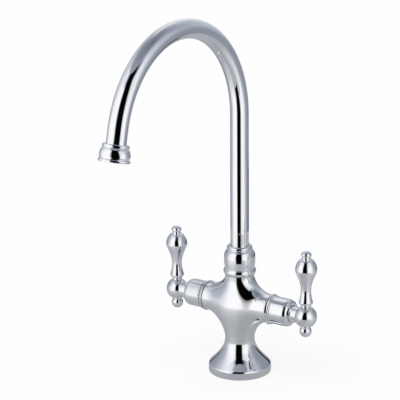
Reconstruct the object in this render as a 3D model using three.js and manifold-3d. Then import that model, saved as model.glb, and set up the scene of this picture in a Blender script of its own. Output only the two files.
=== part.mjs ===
// A single-hole kitchen faucet with two lever handles and a swivelling gooseneck spout.
// Millimetres, +Z up. The origin is the centre of the foot's underside, on the deck.
// The spout points towards -Y at rest, and the handles stand on +X (cold) and -X (hot).

import * as THREE from "three";
import { mergeVertices } from "three/addons/utils/BufferGeometryUtils.js";
import Module from "manifold-3d";

// ---------------------------------------------------------------- driving dimensions

const CLEARANCE = 0.3; // between pieces that seat on each other, or turn in each other
const RING_CLEARANCE = 0.15; // each side of a sealing ring in its groove
const CHAMFER = 0.5; // on turned edges

// Facets: a full turn of a large, a middling and a small round piece.
const SIDES_LARGE = 24; // a multiple of 4
const SIDES_MEDIUM = 16;
const SIDES_SMALL = 10;

// Foot and column of the cast body
const FOOT_RADIUS = 31.05;
const FOOT_RIM_HEIGHT = 6.15; // the upright rim, below the rounded shoulder
const FOOT_SHOULDER_WIDTH = 1.64; // the oval rounding between the rim and the flare
const FOOT_SHOULDER_HEIGHT = 2.65;
const FOOT_SHOULDER_SLOPE = 43.3; // degrees up, where that rounding faces and the flare begins
const FLARE_START_PULL = 6.6; // how far the flare keeps the shoulder's direction
const FLARE_END_PULL = 11.6; // and how far it keeps the waist's
const WAIST_RADIUS = 14.6;
const WAIST_HEIGHT = 33.9;
const NECK_RADIUS = 14.45;
const NECK_HEIGHT = 100.2;
const NECK_SHOULDER = 0.6; // height of the turned edge on top of the neck

// Arms of the cast body
const ARM_HEIGHT = 70.8; // axis of the two arms above the deck
const ARM_RADIUS = 14.1;
const ARM_ROOT = 34.15; // where the blended body ends and the plain arm begins
const ARM_BEAD_START = 0.6; // from the arm's root to its bead
const ARM_BEAD_WIDTH = 5.2;
const ARM_BEAD_RISE = 1.2;
const ARM_END_LAND = 0.35; // from the bead to the arm's end face
const LOWER_FILLET_POWER = 1.74; // 2 makes the fillets' edges quarter ellipses, and less fills them
const UPPER_FILLET_POWER = 1.8;
const LOWER_FRONT_POWER = 1.85; // the same for the front, where the column and the arms meet
const UPPER_FRONT_POWER = 2.1;
const FRONT_DEPTH = 22.5; // half depth from which only the front's powers count

// Spout connection on top of the neck
const SPIGOT_RADIUS = 12;
const SPIGOT_LENGTH = 12.9;
const SPOUT_BORE_RADIUS = 9.5;
const SPOUT_BORE_DEPTH = 22.2; // from the spigot's top down to the bore's floor
const CHAMBER_RADIUS = 7; // mixing chamber under the bore
const CHAMBER_DEPTH = 15; // below the bore's floor

// Water ways inside the body
const INLET_OFFSET = 6.4; // hot and cold inlets each side of the column's axis
const INLET_RADIUS = 3.2;
const SEAT_PASSAGE_RADIUS = 3.5;
const MIXING_PASSAGE_RADIUS = 2.2;
const MIXING_PASSAGE_RISE = 8.2; // above the arms' axis

// Valve cartridges
const CARTRIDGE_BORE_RADIUS = 10.6;
const CARTRIDGE_BORE_DEPTH = 18.3; // from the arm's end face to the valve seat
const SEAT_SEAL_THICKNESS = 1.9;
const SEAT_SEAL_HOLE = 4.2;
const DISC_RADIUS = 8.2;
const DISC_THICKNESS = 2.7;
const DISC_PORT_RADIUS = 1.9;
const DISC_PORT_OFFSET = 4.4;
const DRIVER_THICKNESS = 3.4;
const STEM_RADIUS = 4.1;
const STEM_INSERTION = 13.2; // length of the stem inside the handle's hub
const HOUSING_WAIST_RADIUS = 9.7;
const HOUSING_HEX_RADIUS = 11.5; // across the corners
const HOUSING_HEX_LENGTH = 3.9;
const HOUSING_NOSE_RADIUS = 9;
const HOUSING_NOSE_LENGTH = 11.5;
const HOUSING_WINDOW_WIDTH = 6;
const CIRCLIP_THICKNESS = 0.9;
const CIRCLIP_RADIUS = 6;
const CIRCLIP_GROOVE_DEPTH = 0.6;
const CIRCLIP_MOUTH = 3; // width of the ring's opening
const SEAL_GROOVE_DEPTH = 1.2; // of the sealing rings' grooves

// Bonnet sleeve over each cartridge
const SLEEVE_RADIUS = 13.5;
const SLEEVE_FLANGE_RADIUS = 14.25;
const SLEEVE_FLANGE_WIDTH = 1.6;
const SLEEVE_STRAIGHT = 14.4; // from the arm's end to the start of the dome
const SLEEVE_DOME_LENGTH = 6.8;
const SLEEVE_NOSE_RADIUS = 9;
const SLEEVE_HEX_ROOM = 12; // inner radius over the hexagon

// Handles
const HANDLE_OFFSET = 75.9; // from the column's axis to the lever's axis
const HUB_RADIUS = 10.9;
const HUB_FLAT = 9.4; // height of the flats on the ball that carry lever and finial
const HUB_COLLAR_RADIUS = 7.8;
const HUB_COLLAR_OVERLAP = 2; // length of the collar inside the sleeve's mouth
const LEVER_SPIGOT_RADIUS = 3;
const FINIAL_SPIGOT_RADIUS = 2.2;
const SPIGOT_DEPTH = 4; // of lever and finial in the hub
const LEVER_COLLAR_RADIUS = 4.85;
const LEVER_COLLAR_HEIGHT = 1.45;
const LEVER_FOOT_RADIUS = 6.9;
const LEVER_FOOT_HEIGHT = 2.6; // from the collars to the widest part of the foot
const LEVER_WAIST_RADIUS = 4.95;
const LEVER_WAIST_RISE = 12; // above the foot
const LEVER_BULB_RADIUS = 10.65;
const LEVER_BULB_RISE = 20.6; // above the waist
const LEVER_SHOULDER_RADIUS = 7.9;
const LEVER_SHOULDER_RISE = 8; // above the bulb's widest part
const LEVER_NECK_RADIUS = 3.9;
const LEVER_NECK_RISE = 3.1;
const LEVER_BUTTON_RADIUS = 5;
const LEVER_BUTTON_HEIGHT = 7.3;
const FINIAL_RADIUS = 5.9;
const FINIAL_NECK_RADIUS = 4.3;
const FINIAL_NECK_LENGTH = 0.9;
const SET_SCREW_RADIUS = 1.4;
const SET_SCREW_LENGTH = 3;
const SET_SCREW_SOCKET = 0.7;
const SET_SCREW_INSET = 3.4; // from the sleeve's end face to the screw's axis

// Spout nut
const NUT_LIP_RADIUS = 14.3;
const NUT_BEAD_START = 0.3;
const NUT_BEAD_WIDTH = 5.9;
const NUT_BEAD_RISE = 1.3;
const NUT_WAIST_RADIUS = 14.6;
const NUT_BELLY_RADIUS = 15.4;
const NUT_BELLY_HEIGHT = 17.2; // above the nut's lower face
const NUT_CROWN_RADIUS = 11.9;
const NUT_CROWN_HEIGHT = 25.2;
const NUT_CROWN_START = 10; // degrees of the rounding between belly and crown
const NUT_CROWN_END = 76;
const NUT_RING_WIDTH = 3.6;
const NUT_RING_RISE = 0.8;
const NUT_TOP_RADIUS = 11.5;

// Spout
const TUBE_RADIUS = 9;
const TUBE_WALL = 1.2;
const ARCH_RADIUS = 95.7; // centre line
const ARCH_HEIGHT = 260.8; // centre of the arch above the deck
const ARCH_ANGLE = 166.5; // degrees of the arch
const TUBE_STRAIGHT_END = 11.9; // from the arch to the tip
const ARCH_STEPS = 20;
const TUBE_SIDES = 20;
const FLANGE_RADIUS = 11.4;
const FLANGE_THICKNESS = 3;
const SPOUT_PLUG_RADIUS = 9.2;
const SPOUT_WATERWAY = 5.5;
const TUBE_SEAT_LENGTH = 11.5; // of the spout foot inside the tube
const BEARING_THICKNESS = 1.4;
const SPOUT_SEAL_WIDTH = 2.3;
const SPOUT_SEAL_LOW = 4; // from the plug's lower end to the lower groove
const SPOUT_SEAL_PITCH = 8;

// Spout tip
const TIP_RING_RADIUS = 11.4;
const TIP_RING_WIDTH = 2.6;
const TIP_RING_RISE = 0.7;
const BELL_RADIUS = 13.7;
const BELL_LENGTH = 15.5;
const BELL_FLANGE_RADIUS = 13.5;
const BELL_FLANGE_WIDTH = 2.7;
const BELL_FLANGE_RISE = 0.75;
const BELL_CAVITY_RADIUS = 11.9;
const BELL_SOCKET_DEPTH = 6.5; // the tube's end inside the bell
const AERATOR_WALL = 1.5;
const AERATOR_LIP = 0.9;
const AERATOR_WASHER_THICKNESS = 1.2;
const AERATOR_INSERT_HOLES = 6;
const AERATOR_HOLE_RADIUS = 1.5;
const SCREEN_THICKNESS = 0.6;

// Fixings under the deck
const DECK_THICKNESS = 20;
const SHANK_RADIUS = 16;
const SHANK_WALL = 3.2;
const SHANK_LENGTH = 55; // below the deck's top
const SHANK_INSERTION = 12; // depth of its socket in the foot
const DECK_SEAL_RADIUS = 27;
const DECK_SEAL_THICKNESS = 3;
const WASHER_RADIUS = 27.5;
const WASHER_THICKNESS = 2;
const LOCK_NUT_CORNERS = 24.5;
const LOCK_NUT_THICKNESS = 9;
const LOCK_NUT_CHAMFER = 1.6;
const TAIL_RADIUS = 5;
const TAIL_WALL = 2;
const TAIL_INSERTION = 10; // above the shank's socket
const TAIL_DROP = 62; // below the deck's top
const GASKET_INNER_RADIUS = 22.3;
const GASKET_OUTER_RADIUS = 27.7;
const GASKET_THICKNESS = 1.7;

// Places that follow from the sizes above
const ARM_END = ARM_ROOT + ARM_BEAD_START + ARM_BEAD_WIDTH + ARM_END_LAND;
const SHOULDER_TOP = NECK_HEIGHT + NECK_SHOULDER;
const SPIGOT_TOP = SHOULDER_TOP + SPIGOT_LENGTH;
const BORE_FLOOR = SPIGOT_TOP - SPOUT_BORE_DEPTH;
const VALVE_SEAT = ARM_END - CARTRIDGE_BORE_DEPTH;
const FLANGE_BOTTOM = SPIGOT_TOP + CLEARANCE;
const FLANGE_TOP = FLANGE_BOTTOM + FLANGE_THICKNESS;
const BEARING_BOTTOM = FLANGE_TOP + CLEARANCE;
const NUT_SHOULDER = BEARING_BOTTOM + BEARING_THICKNESS + CLEARANCE;
const NUT_BOTTOM = SHOULDER_TOP + CLEARANCE;
const SLEEVE_START = ARM_END + CLEARANCE;
const SLEEVE_END = SLEEVE_START + SLEEVE_STRAIGHT + SLEEVE_DOME_LENGTH;
const HOUSING_START = VALVE_SEAT + SEAT_SEAL_THICKNESS + 2 * CLEARANCE;
const FIXED_DISC_START = HOUSING_START;
const MOVING_DISC_START = FIXED_DISC_START + DISC_THICKNESS + CLEARANCE;
const DRIVER_START = MOVING_DISC_START + DISC_THICKNESS + CLEARANCE;
const HOUSING_CEILING = DRIVER_START + DRIVER_THICKNESS + CLEARANCE;
const HOUSING_NOSE_START = SLEEVE_START + HOUSING_HEX_LENGTH;
const HOUSING_END = HOUSING_NOSE_START + HOUSING_NOSE_LENGTH;
const CIRCLIP_START = HOUSING_END + CLEARANCE + RING_CLEARANCE;
const HUB_START = SLEEVE_END - HUB_COLLAR_OVERLAP;
const STEM_END = HUB_START + STEM_INSERTION;

// ---------------------------------------------------------------- outlines

const rounded = (value) => Math.round(value * 1e5) / 1e5;

// An arc from one point to another that stands `rise` proud of the straight line,
// on the side away from the turning axis.
function bead([startR, startZ], [endR, endZ], rise, steps = 4) {
  const half = Math.hypot(endR - startR, endZ - startZ) / 2;
  const radius = (half * half + rise * rise) / (2 * rise);
  const alongR = (endR - startR) / (2 * half);
  const alongZ = (endZ - startZ) / (2 * half);
  const outward = Math.sign(alongZ);
  const reach = Math.asin(Math.min(1, half / radius));
  const points = [];
  for (let i = 0; i <= steps; i++) {
    const angle = reach * ((2 * i) / steps - 1);
    const along = radius * Math.sin(angle);
    const proud = radius * Math.cos(angle) + rise - radius;
    points.push([
      (startR + endR) / 2 + alongR * along + outward * alongZ * proud,
      (startZ + endZ) / 2 + alongZ * along - outward * alongR * proud,
    ]);
  }
  return points;
}

// An arc of an ellipse about (centreR, centreZ), from one angle to another in degrees.
function oval([centreR, centreZ], [radiusR, radiusZ], from, to, steps) {
  const curve = new THREE.EllipseCurve(
    centreR,
    centreZ,
    radiusR,
    radiusZ,
    THREE.MathUtils.degToRad(from),
    THREE.MathUtils.degToRad(to),
    to < from,
  );
  return curve.getPoints(steps).map((p) => [p.x, p.y]);
}

// A smooth curve through the given points.
function through(points, steps) {
  const curve = new THREE.SplineCurve(points.map(([r, z]) => new THREE.Vector2(r, z)));
  return curve.getPoints(steps).map((p) => [p.x, p.y]);
}

// A curve that leaves the first point towards the second, and meets the last from the third.
function flare(start, startPull, endPull, end, steps) {
  const points = [start, startPull, endPull, end].map(([r, z]) => new THREE.Vector2(r, z));
  return new THREE.CubicBezierCurve(...points).getPoints(steps).map((p) => [p.x, p.y]);
}

// The closed outline of a plain ring with chamfered outer edges.
function ringOutline(inner, outer, bottom, top, edge = 0) {
  return [
    [inner, bottom],
    [outer - edge, bottom],
    ...(edge ? [[outer, bottom + edge]] : []),
    ...(edge ? [[outer, top - edge]] : []),
    [outer - edge, top],
    [inner, top],
    [inner, bottom],
  ];
}

// ---------------------------------------------------------------- solids

const wasm = await Module();
wasm.setup();

// A closed geometry as a solid that can be joined and cut.
function solidOf(geometry) {
  const bare = geometry.clone();
  bare.deleteAttribute("normal");
  bare.deleteAttribute("uv");
  const merged = mergeVertices(bare, 1e-4);
  const index = merged.index.array;
  const faces = [];
  for (let i = 0; i < index.length; i += 3) {
    const [a, b, c] = [index[i], index[i + 1], index[i + 2]];
    if (a !== b && b !== c && c !== a) faces.push([a, b, c]);
  }
  const build = (list) =>
    new wasm.Manifold(
      new wasm.Mesh({
        numProp: 3,
        vertProperties: new Float32Array(merged.attributes.position.array),
        triVerts: new Uint32Array(list.flat()),
      }),
    );
  const made = build(faces);
  return made.volume() > 0 ? made : build(faces.map(([a, b, c]) => [a, c, b]));
}

function geometryOf(solid) {
  const { vertProperties, triVerts } = solid.getMesh();
  const geometry = new THREE.BufferGeometry();
  geometry.setAttribute("position", new THREE.BufferAttribute(vertProperties, 3));
  geometry.setIndex(new THREE.BufferAttribute(triVerts, 1));
  geometry.computeVertexNormals();
  return geometry;
}

const joined = (...shapes) =>
  geometryOf(shapes.map(solidOf).reduce((all, next) => all.add(next)));

const cut = (shape, ...tools) =>
  geometryOf(tools.map(solidOf).reduce((left, tool) => left.subtract(tool), solidOf(shape)));

const common = (shape, other) => geometryOf(solidOf(shape).intersect(solidOf(other)));

// An outline of [radius, height] points turned about the Z axis.
function turned(outline, sides) {
  const points = outline.map(([r, z]) => new THREE.Vector2(r, z));
  return geometryOf(solidOf(new THREE.LatheGeometry(points, sides).rotateX(Math.PI / 2)));
}

const ring = (inner, outer, bottom, top, sides, edge = 0) =>
  turned(ringOutline(inner, outer, bottom, top, edge), sides);

// A plain round bar along Z, standing at (x, y).
function bar(radius, bottom, top, sides, x = 0, y = 0) {
  const length = top - bottom;
  return new THREE.CylinderGeometry(radius, radius, length, sides)
    .rotateX(Math.PI / 2)
    .translate(x, y, bottom + length / 2);
}

// Turns a shape that was made along Z so that it lies along X.
const alongX = (geometry) => geometry.clone().rotateY(Math.PI / 2);

const block = (x, y, z, centre) => new THREE.BoxGeometry(x, y, z).translate(...centre);

// A sealing ring that fills the room between a groove and a bore.
function sealingRing(grooveRadius, boreRadius, height) {
  const section = (boreRadius - grooveRadius) / 2 - RING_CLEARANCE;
  const middle = (boreRadius + grooveRadius) / 2;
  return new THREE.TorusGeometry(middle, section, 5, SIDES_MEDIUM).translate(0, 0, height);
}

// ---------------------------------------------------------------- the cast body

// The column's two halves. Each leaves the column at `height`, where it has `radius`,
// and runs out into the arms along a quarter of a fuller ellipse about the fillet's pivot.
const LEVELS = [
  { up: -1, height: WAIST_HEIGHT, radius: WAIST_RADIUS },
  { up: 1, height: NECK_HEIGHT, radius: NECK_RADIUS },
].map((level, i) => ({
  ...level,
  power: [LOWER_FILLET_POWER, UPPER_FILLET_POWER][i],
  front: [LOWER_FRONT_POWER, UPPER_FRONT_POWER][i],
  run: ARM_ROOT - level.radius,
  rise: Math.abs(level.height - ARM_HEIGHT) - ARM_RADIUS,
}));

const ease = (share) => share * share * (3 - 2 * share);
const DEPTH_HALVINGS = 40;

// Half the body's depth at a point of its front view: a round column and round arms that run
// into each other, as softly as the fillets' edges do at the sides and more crisply in front.
function bodyDepth(x, z) {
  const { clamp, lerp } = THREE.MathUtils;
  const [low, high] = LEVELS;
  const up = z - ARM_HEIGHT;
  const share = ease(clamp((1 + up / ARM_RADIUS) / 2, 0, 1));
  const column = lerp(low.radius, high.radius, share);
  const rise = lerp(low.rise, high.rise, share);
  const side = lerp(low.power, high.power, share);
  const front = lerp(low.front, high.front, share);
  let inside = 0;
  let outside = 2 * ARM_RADIUS;
  for (let halving = 0; halving < DEPTH_HALVINGS; halving++) {
    const depth = (inside + outside) / 2;
    const fromColumn = 1 - (Math.hypot(x, depth) - column) / (ARM_ROOT - column);
    const fromArm = 1 - (Math.hypot(up, depth) - ARM_RADIUS) / rise;
    const power = lerp(side, front, ease(Math.min(1, depth / FRONT_DEPTH)));
    if (Math.max(0, fromColumn) ** power + Math.max(0, fromArm) ** power > 1) inside = depth;
    else outside = depth;
  }
  return inside;
}

const QUARTER = SIDES_LARGE / 4;
const turnOf = (step) => (step / QUARTER) * (Math.PI / 2);

// A point of the blended body: `start` is on the cross of the column's and the arms' axes,
// and `step` runs from the front or back of the section there to the fillet's edge.
function blendPoint(side, level, face, start, step) {
  const dx = ARM_ROOT - start.x;
  const dz = level.height - start.z;
  const along = Math.abs(dx / level.run) ** level.power + Math.abs(dz / level.rise) ** level.power;
  const reach = (1 - along ** (-1 / level.power)) * Math.sin(turnOf(step));
  const x = start.x + dx * reach;
  const z = start.z + dz * reach;
  const depth = step === QUARTER ? 0 : bodyDepth(x, z);
  return [side * x, face * depth, z];
}

// The points of a closed section, taken from four quarters that share their ends.
function section(quarterPoint) {
  const points = [];
  for (const [sign, face, backwards] of [
    [-1, -1, false],
    [-1, 1, true],
    [1, 1, false],
    [1, -1, true],
  ])
    for (let i = 0; i < QUARTER; i++)
      points.push(quarterPoint(sign, face, backwards ? QUARTER - i : i));
  return points;
}

// Rings about the column's axis run from -Y over +X, and rings about an arm from -Y over -Z,
// so that both wind the same way about their axis.
const columnRing = (radius, height) =>
  section((sign, face, step) => [
    -sign * radius * Math.sin(turnOf(step)),
    face * radius * Math.cos(turnOf(step)),
    height,
  ]);

const armRing = (side, radius, station) =>
  section((sign, face, step) => [
    side * station,
    side * face * radius * Math.cos(turnOf(step)),
    ARM_HEIGHT + sign * radius * Math.sin(turnOf(step)),
  ]);

function bodySkin() {
  const corners = [];
  const triangle = (a, b, c) => corners.push(...a, ...b, ...c);
  const quad = (a, b, c, d) => {
    triangle(a, b, c);
    triangle(a, c, d);
  };
  const sleeve = (rings) => {
    for (let j = 1; j < rings.length; j++)
      for (let i = 0; i < SIDES_LARGE; i++) {
        const next = (i + 1) % SIDES_LARGE;
        quad(rings[j - 1][i], rings[j - 1][next], rings[j][next], rings[j][i]);
      }
  };
  const lid = (points, centre, facesOut) => {
    for (let i = 0; i < SIDES_LARGE; i++) {
      const next = (i + 1) % SIDES_LARGE;
      if (facesOut) triangle(centre, points[i], points[next]);
      else triangle(centre, points[next], points[i]);
    }
  };

  // The cross, one quarter at a time.
  const columnSteps = 4;
  const armSteps = 5;
  for (const level of LEVELS) {
    const starts = [];
    for (let i = 0; i < columnSteps; i++)
      starts.push({ x: 0, z: THREE.MathUtils.lerp(level.height, ARM_HEIGHT, i / columnSteps) });
    for (let i = 0; i <= armSteps; i++)
      starts.push({ x: (ARM_ROOT * i) / armSteps, z: ARM_HEIGHT });
    for (const side of [-1, 1])
      for (const face of [-1, 1]) {
        const grid = starts.map((start) =>
          Array.from({ length: QUARTER + 1 }, (_, i) => blendPoint(side, level, face, start, i)),
        );
        for (let j = 1; j < grid.length; j++)
          for (let i = 0; i < QUARTER; i++) {
            const facet = [grid[j - 1][i], grid[j - 1][i + 1], grid[j][i + 1], grid[j][i]];
            if (side * level.up * face < 0) facet.reverse();
            quad(...facet);
          }
      }
  }

  // Foot: from the underside's middle, round the rim and up the flare to the waist.
  const { degToRad, radToDeg } = THREE.MathUtils;
  const slope = degToRad(FOOT_SHOULDER_SLOPE);
  const steepness = (FOOT_SHOULDER_HEIGHT / FOOT_SHOULDER_WIDTH) * Math.tan(slope);
  const shoulder = oval(
    [FOOT_RADIUS - FOOT_SHOULDER_WIDTH, FOOT_RIM_HEIGHT],
    [FOOT_SHOULDER_WIDTH, FOOT_SHOULDER_HEIGHT],
    0,
    radToDeg(Math.atan(steepness)),
    3,
  );
  const [edge, top] = shoulder.pop();
  const foot = [
    [FOOT_RADIUS - CHAMFER, 0],
    [FOOT_RADIUS, CHAMFER],
    ...shoulder,
    ...flare(
      [edge, top],
      [edge - FLARE_START_PULL * Math.sin(slope), top + FLARE_START_PULL * Math.cos(slope)],
      [WAIST_RADIUS, WAIST_HEIGHT - FLARE_END_PULL],
      [WAIST_RADIUS, WAIST_HEIGHT],
      7,
    ),
  ];
  const footRings = foot.map(([radius, height]) => columnRing(radius, height));
  lid(footRings[0], [0, 0, 0], false);
  const waist = section((sign, face, step) =>
    blendPoint(-sign, LEVELS[0], face, { x: 0, z: WAIST_HEIGHT }, step),
  );
  sleeve([...footRings.slice(0, -1), waist]);

  // Neck: the turned shoulder, then the threaded spigot for the spout nut.
  const neck = section((sign, face, step) =>
    blendPoint(-sign, LEVELS[1], face, { x: 0, z: NECK_HEIGHT }, step),
  );
  const spigot = [
    [NECK_RADIUS - CHAMFER / 2, SHOULDER_TOP],
    [SPIGOT_RADIUS, SHOULDER_TOP],
    [SPIGOT_RADIUS, SPIGOT_TOP - CHAMFER],
    [SPIGOT_RADIUS - CHAMFER, SPIGOT_TOP],
  ].map(([radius, height]) => columnRing(radius, height));
  sleeve([neck, ...spigot]);
  lid(spigot.at(-1), [0, 0, SPIGOT_TOP], true);

  // Arms: each ends in a bead and a flat face.
  const beadStart = ARM_ROOT + ARM_BEAD_START;
  const beadEnd = beadStart + ARM_BEAD_WIDTH;
  const arm = [
    ...bead([ARM_RADIUS, beadStart], [ARM_RADIUS, beadEnd], ARM_BEAD_RISE, 4),
    [ARM_RADIUS - CHAMFER / 2, ARM_END],
  ];
  for (const side of [-1, 1]) {
    const root = section((sign, face, step) =>
      blendPoint(side, LEVELS[sign < 0 ? 0 : 1], side * face, { x: ARM_ROOT, z: ARM_HEIGHT }, step),
    );
    const rings = arm.map(([radius, station]) => armRing(side, radius, station));
    sleeve([root, ...rings]);
    lid(rings.at(-1), [side * ARM_END, 0, ARM_HEIGHT], true);
  }

  const geometry = new THREE.BufferGeometry();
  geometry.setAttribute("position", new THREE.Float32BufferAttribute(corners.map(rounded), 3));
  return geometry;
}

function bodyGeometry() {
  const past = CHAMFER; // how far a cutter runs past the face it opens
  const chamberFloor = BORE_FLOOR - CHAMBER_DEPTH;
  const socketTop = SHANK_INSERTION + TAIL_INSERTION;
  const tools = [
    bar(SPOUT_BORE_RADIUS, BORE_FLOOR, SPIGOT_TOP + past, SIDES_LARGE),
    bar(CHAMBER_RADIUS, chamberFloor, BORE_FLOOR + past, SIDES_MEDIUM),
    alongX(bar(MIXING_PASSAGE_RADIUS, -VALVE_SEAT - past, VALVE_SEAT + past, SIDES_SMALL)).translate(
      0,
      0,
      ARM_HEIGHT + MIXING_PASSAGE_RISE,
    ),
    bar(SHANK_RADIUS + CLEARANCE, -past, SHANK_INSERTION, SIDES_LARGE),
    ring(
      GASKET_INNER_RADIUS - CLEARANCE,
      GASKET_OUTER_RADIUS + CLEARANCE,
      -past,
      GASKET_THICKNESS + CLEARANCE,
      SIDES_LARGE,
    ),
  ];
  for (const side of [-1, 1]) {
    const x = side * INLET_OFFSET;
    const bore = alongX(bar(CARTRIDGE_BORE_RADIUS, VALVE_SEAT, ARM_END + past, SIDES_LARGE));
    const passage = alongX(bar(SEAT_PASSAGE_RADIUS, INLET_OFFSET, VALVE_SEAT + past, SIDES_SMALL));
    const turn = side < 0 ? Math.PI : 0;
    tools.push(
      bore.rotateZ(turn).translate(0, 0, ARM_HEIGHT),
      passage.rotateZ(turn).translate(0, 0, ARM_HEIGHT),
      bar(INLET_RADIUS, socketTop - past, ARM_HEIGHT, SIDES_SMALL, x),
      bar(TAIL_RADIUS + CLEARANCE, SHANK_INSERTION - past, socketTop, SIDES_MEDIUM, x),
    );
  }
  return cut(bodySkin(), ...tools);
}

// ---------------------------------------------------------------- spout connection

function spoutNut() {
  const beadStart = NUT_BOTTOM + NUT_BEAD_START;
  const beadEnd = beadStart + NUT_BEAD_WIDTH;
  const belly = NUT_BOTTOM + NUT_BELLY_HEIGHT;
  const crown = NUT_BOTTOM + NUT_CROWN_HEIGHT;
  const ringTop = crown + NUT_RING_WIDTH;
  const inner = SPIGOT_RADIUS + CLEARANCE;
  const hole = TUBE_RADIUS + CLEARANCE;
  return turned(
    [
      [inner, NUT_BOTTOM],
      [NUT_LIP_RADIUS, NUT_BOTTOM],
      ...bead([NUT_LIP_RADIUS + CHAMFER, beadStart], [NUT_WAIST_RADIUS, beadEnd], NUT_BEAD_RISE, 4),
      ...flare(
        [NUT_WAIST_RADIUS, beadEnd + CHAMFER],
        [NUT_BELLY_RADIUS - 0.2, beadEnd + 5],
        [NUT_BELLY_RADIUS, belly - 5],
        [NUT_BELLY_RADIUS, belly],
        3,
      ),
      ...oval(
        [NUT_CROWN_RADIUS - 1, belly],
        [NUT_BELLY_RADIUS - NUT_CROWN_RADIUS + 1, crown - belly],
        NUT_CROWN_START,
        NUT_CROWN_END,
        4,
      ),
      ...bead([NUT_CROWN_RADIUS, crown], [NUT_TOP_RADIUS, ringTop], NUT_RING_RISE, 3),
      [NUT_TOP_RADIUS - CHAMFER, ringTop + CHAMFER],
      [hole, ringTop + CHAMFER],
      [hole, NUT_SHOULDER],
      [inner, NUT_SHOULDER],
      [inner, NUT_BOTTOM],
    ],
    SIDES_LARGE,
  );
}

const plugGroove = SPOUT_PLUG_RADIUS - SEAL_GROOVE_DEPTH - CHAMFER;

function spoutFoot() {
  const bottom = BORE_FLOOR + CLEARANCE;
  const seatTop = FLANGE_TOP + TUBE_SEAT_LENGTH;
  const tubeSeat = TUBE_RADIUS - TUBE_WALL - CLEARANCE;
  const grooves = [0, 1].flatMap((row) => {
    const low = bottom + SPOUT_SEAL_LOW + row * SPOUT_SEAL_PITCH;
    return [
      [SPOUT_PLUG_RADIUS, low],
      [plugGroove, low],
      [plugGroove, low + SPOUT_SEAL_WIDTH],
      [SPOUT_PLUG_RADIUS, low + SPOUT_SEAL_WIDTH],
    ];
  });
  return turned(
    [
      [SPOUT_WATERWAY, bottom],
      [SPOUT_PLUG_RADIUS - CHAMFER, bottom],
      [SPOUT_PLUG_RADIUS, bottom + CHAMFER],
      ...grooves,
      [SPOUT_PLUG_RADIUS, FLANGE_BOTTOM],
      [FLANGE_RADIUS, FLANGE_BOTTOM],
      [FLANGE_RADIUS, FLANGE_TOP],
      [tubeSeat, FLANGE_TOP],
      [tubeSeat, seatTop - CHAMFER],
      [tubeSeat - CHAMFER, seatTop],
      [SPOUT_WATERWAY, seatTop],
      [SPOUT_WATERWAY, bottom],
    ],
    SIDES_MEDIUM,
  );
}

function spoutSeal(row) {
  const low = BORE_FLOOR + CLEARANCE + SPOUT_SEAL_LOW + row * SPOUT_SEAL_PITCH;
  return sealingRing(plugGroove, SPOUT_BORE_RADIUS, low + SPOUT_SEAL_WIDTH / 2);
}

const bearingWasher = () =>
  ring(
    TUBE_RADIUS + CLEARANCE,
    FLANGE_RADIUS,
    BEARING_BOTTOM,
    BEARING_BOTTOM + BEARING_THICKNESS,
    SIDES_MEDIUM,
  );

// ---------------------------------------------------------------- spout

const ARCH_TURN = THREE.MathUtils.degToRad(ARCH_ANGLE);
const TUBE_IN_TIP = BELL_SOCKET_DEPTH - CLEARANCE;

// The tube's centre line: one straight step up the column, equal steps of the arch, and
// one short straight step down into the tip.
class Gooseneck extends THREE.Curve {
  static steps = ARCH_STEPS + 2;
  getPoint(t, target = new THREE.Vector3()) {
    const step = t * Gooseneck.steps;
    const bottom = FLANGE_TOP + CLEARANCE;
    if (step < 1) return target.set(0, 0, THREE.MathUtils.lerp(bottom, ARCH_HEIGHT, step));
    const turn = this.turnAt(t);
    target.set(0, ARCH_RADIUS * (Math.cos(turn) - 1), ARCH_HEIGHT + ARCH_RADIUS * Math.sin(turn));
    const beyond = Math.max(0, step - 1 - ARCH_STEPS) * (TUBE_STRAIGHT_END + TUBE_IN_TIP);
    return target.addScaledVector(this.getTangent(t), beyond);
  }
  getTangent(t, target = new THREE.Vector3()) {
    const turn = this.turnAt(t);
    return target.set(0, -Math.sin(turn), Math.cos(turn));
  }
  turnAt(t) {
    return (THREE.MathUtils.clamp(t * Gooseneck.steps - 1, 0, ARCH_STEPS) / ARCH_STEPS) * ARCH_TURN;
  }
  // Steps are taken as they are, not respaced to equal lengths.
  getUtoTmapping(u) {
    return u;
  }
}

function circle(radius, sides) {
  const corners = Array.from({ length: sides }, (_, i) => {
    const angle = (2 * Math.PI * i) / sides;
    return new THREE.Vector2(radius * Math.cos(angle), radius * Math.sin(angle));
  });
  return corners;
}

function spoutTube() {
  const wall = new THREE.Shape(circle(TUBE_RADIUS, TUBE_SIDES));
  wall.holes.push(new THREE.Path(circle(TUBE_RADIUS - TUBE_WALL, TUBE_SIDES).reverse()));
  const tube = new THREE.ExtrudeGeometry(wall, {
    steps: Gooseneck.steps,
    extrudePath: new Gooseneck(),
  });
  return geometryOf(solidOf(tube));
}

// ---------------------------------------------------------------- spout tip
// Made with the flow running towards -Z: the bell's upper face is at 0, the tube comes
// in from above.

const AERATOR_RADIUS = BELL_CAVITY_RADIUS - CLEARANCE;
const WASHER_TOP = -BELL_SOCKET_DEPTH - CLEARANCE;
const SHELL_TOP = WASHER_TOP - AERATOR_WASHER_THICKNESS - CLEARANCE;
const SHELL_BOTTOM = -BELL_LENGTH + CLEARANCE;
const INSERT_RADIUS = AERATOR_RADIUS - AERATOR_WALL - CLEARANCE;
const SCREEN_BOTTOM = SHELL_BOTTOM + AERATOR_LIP + CLEARANCE;
const INSERT_BOTTOM = SCREEN_BOTTOM + SCREEN_THICKNESS + CLEARANCE;

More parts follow.
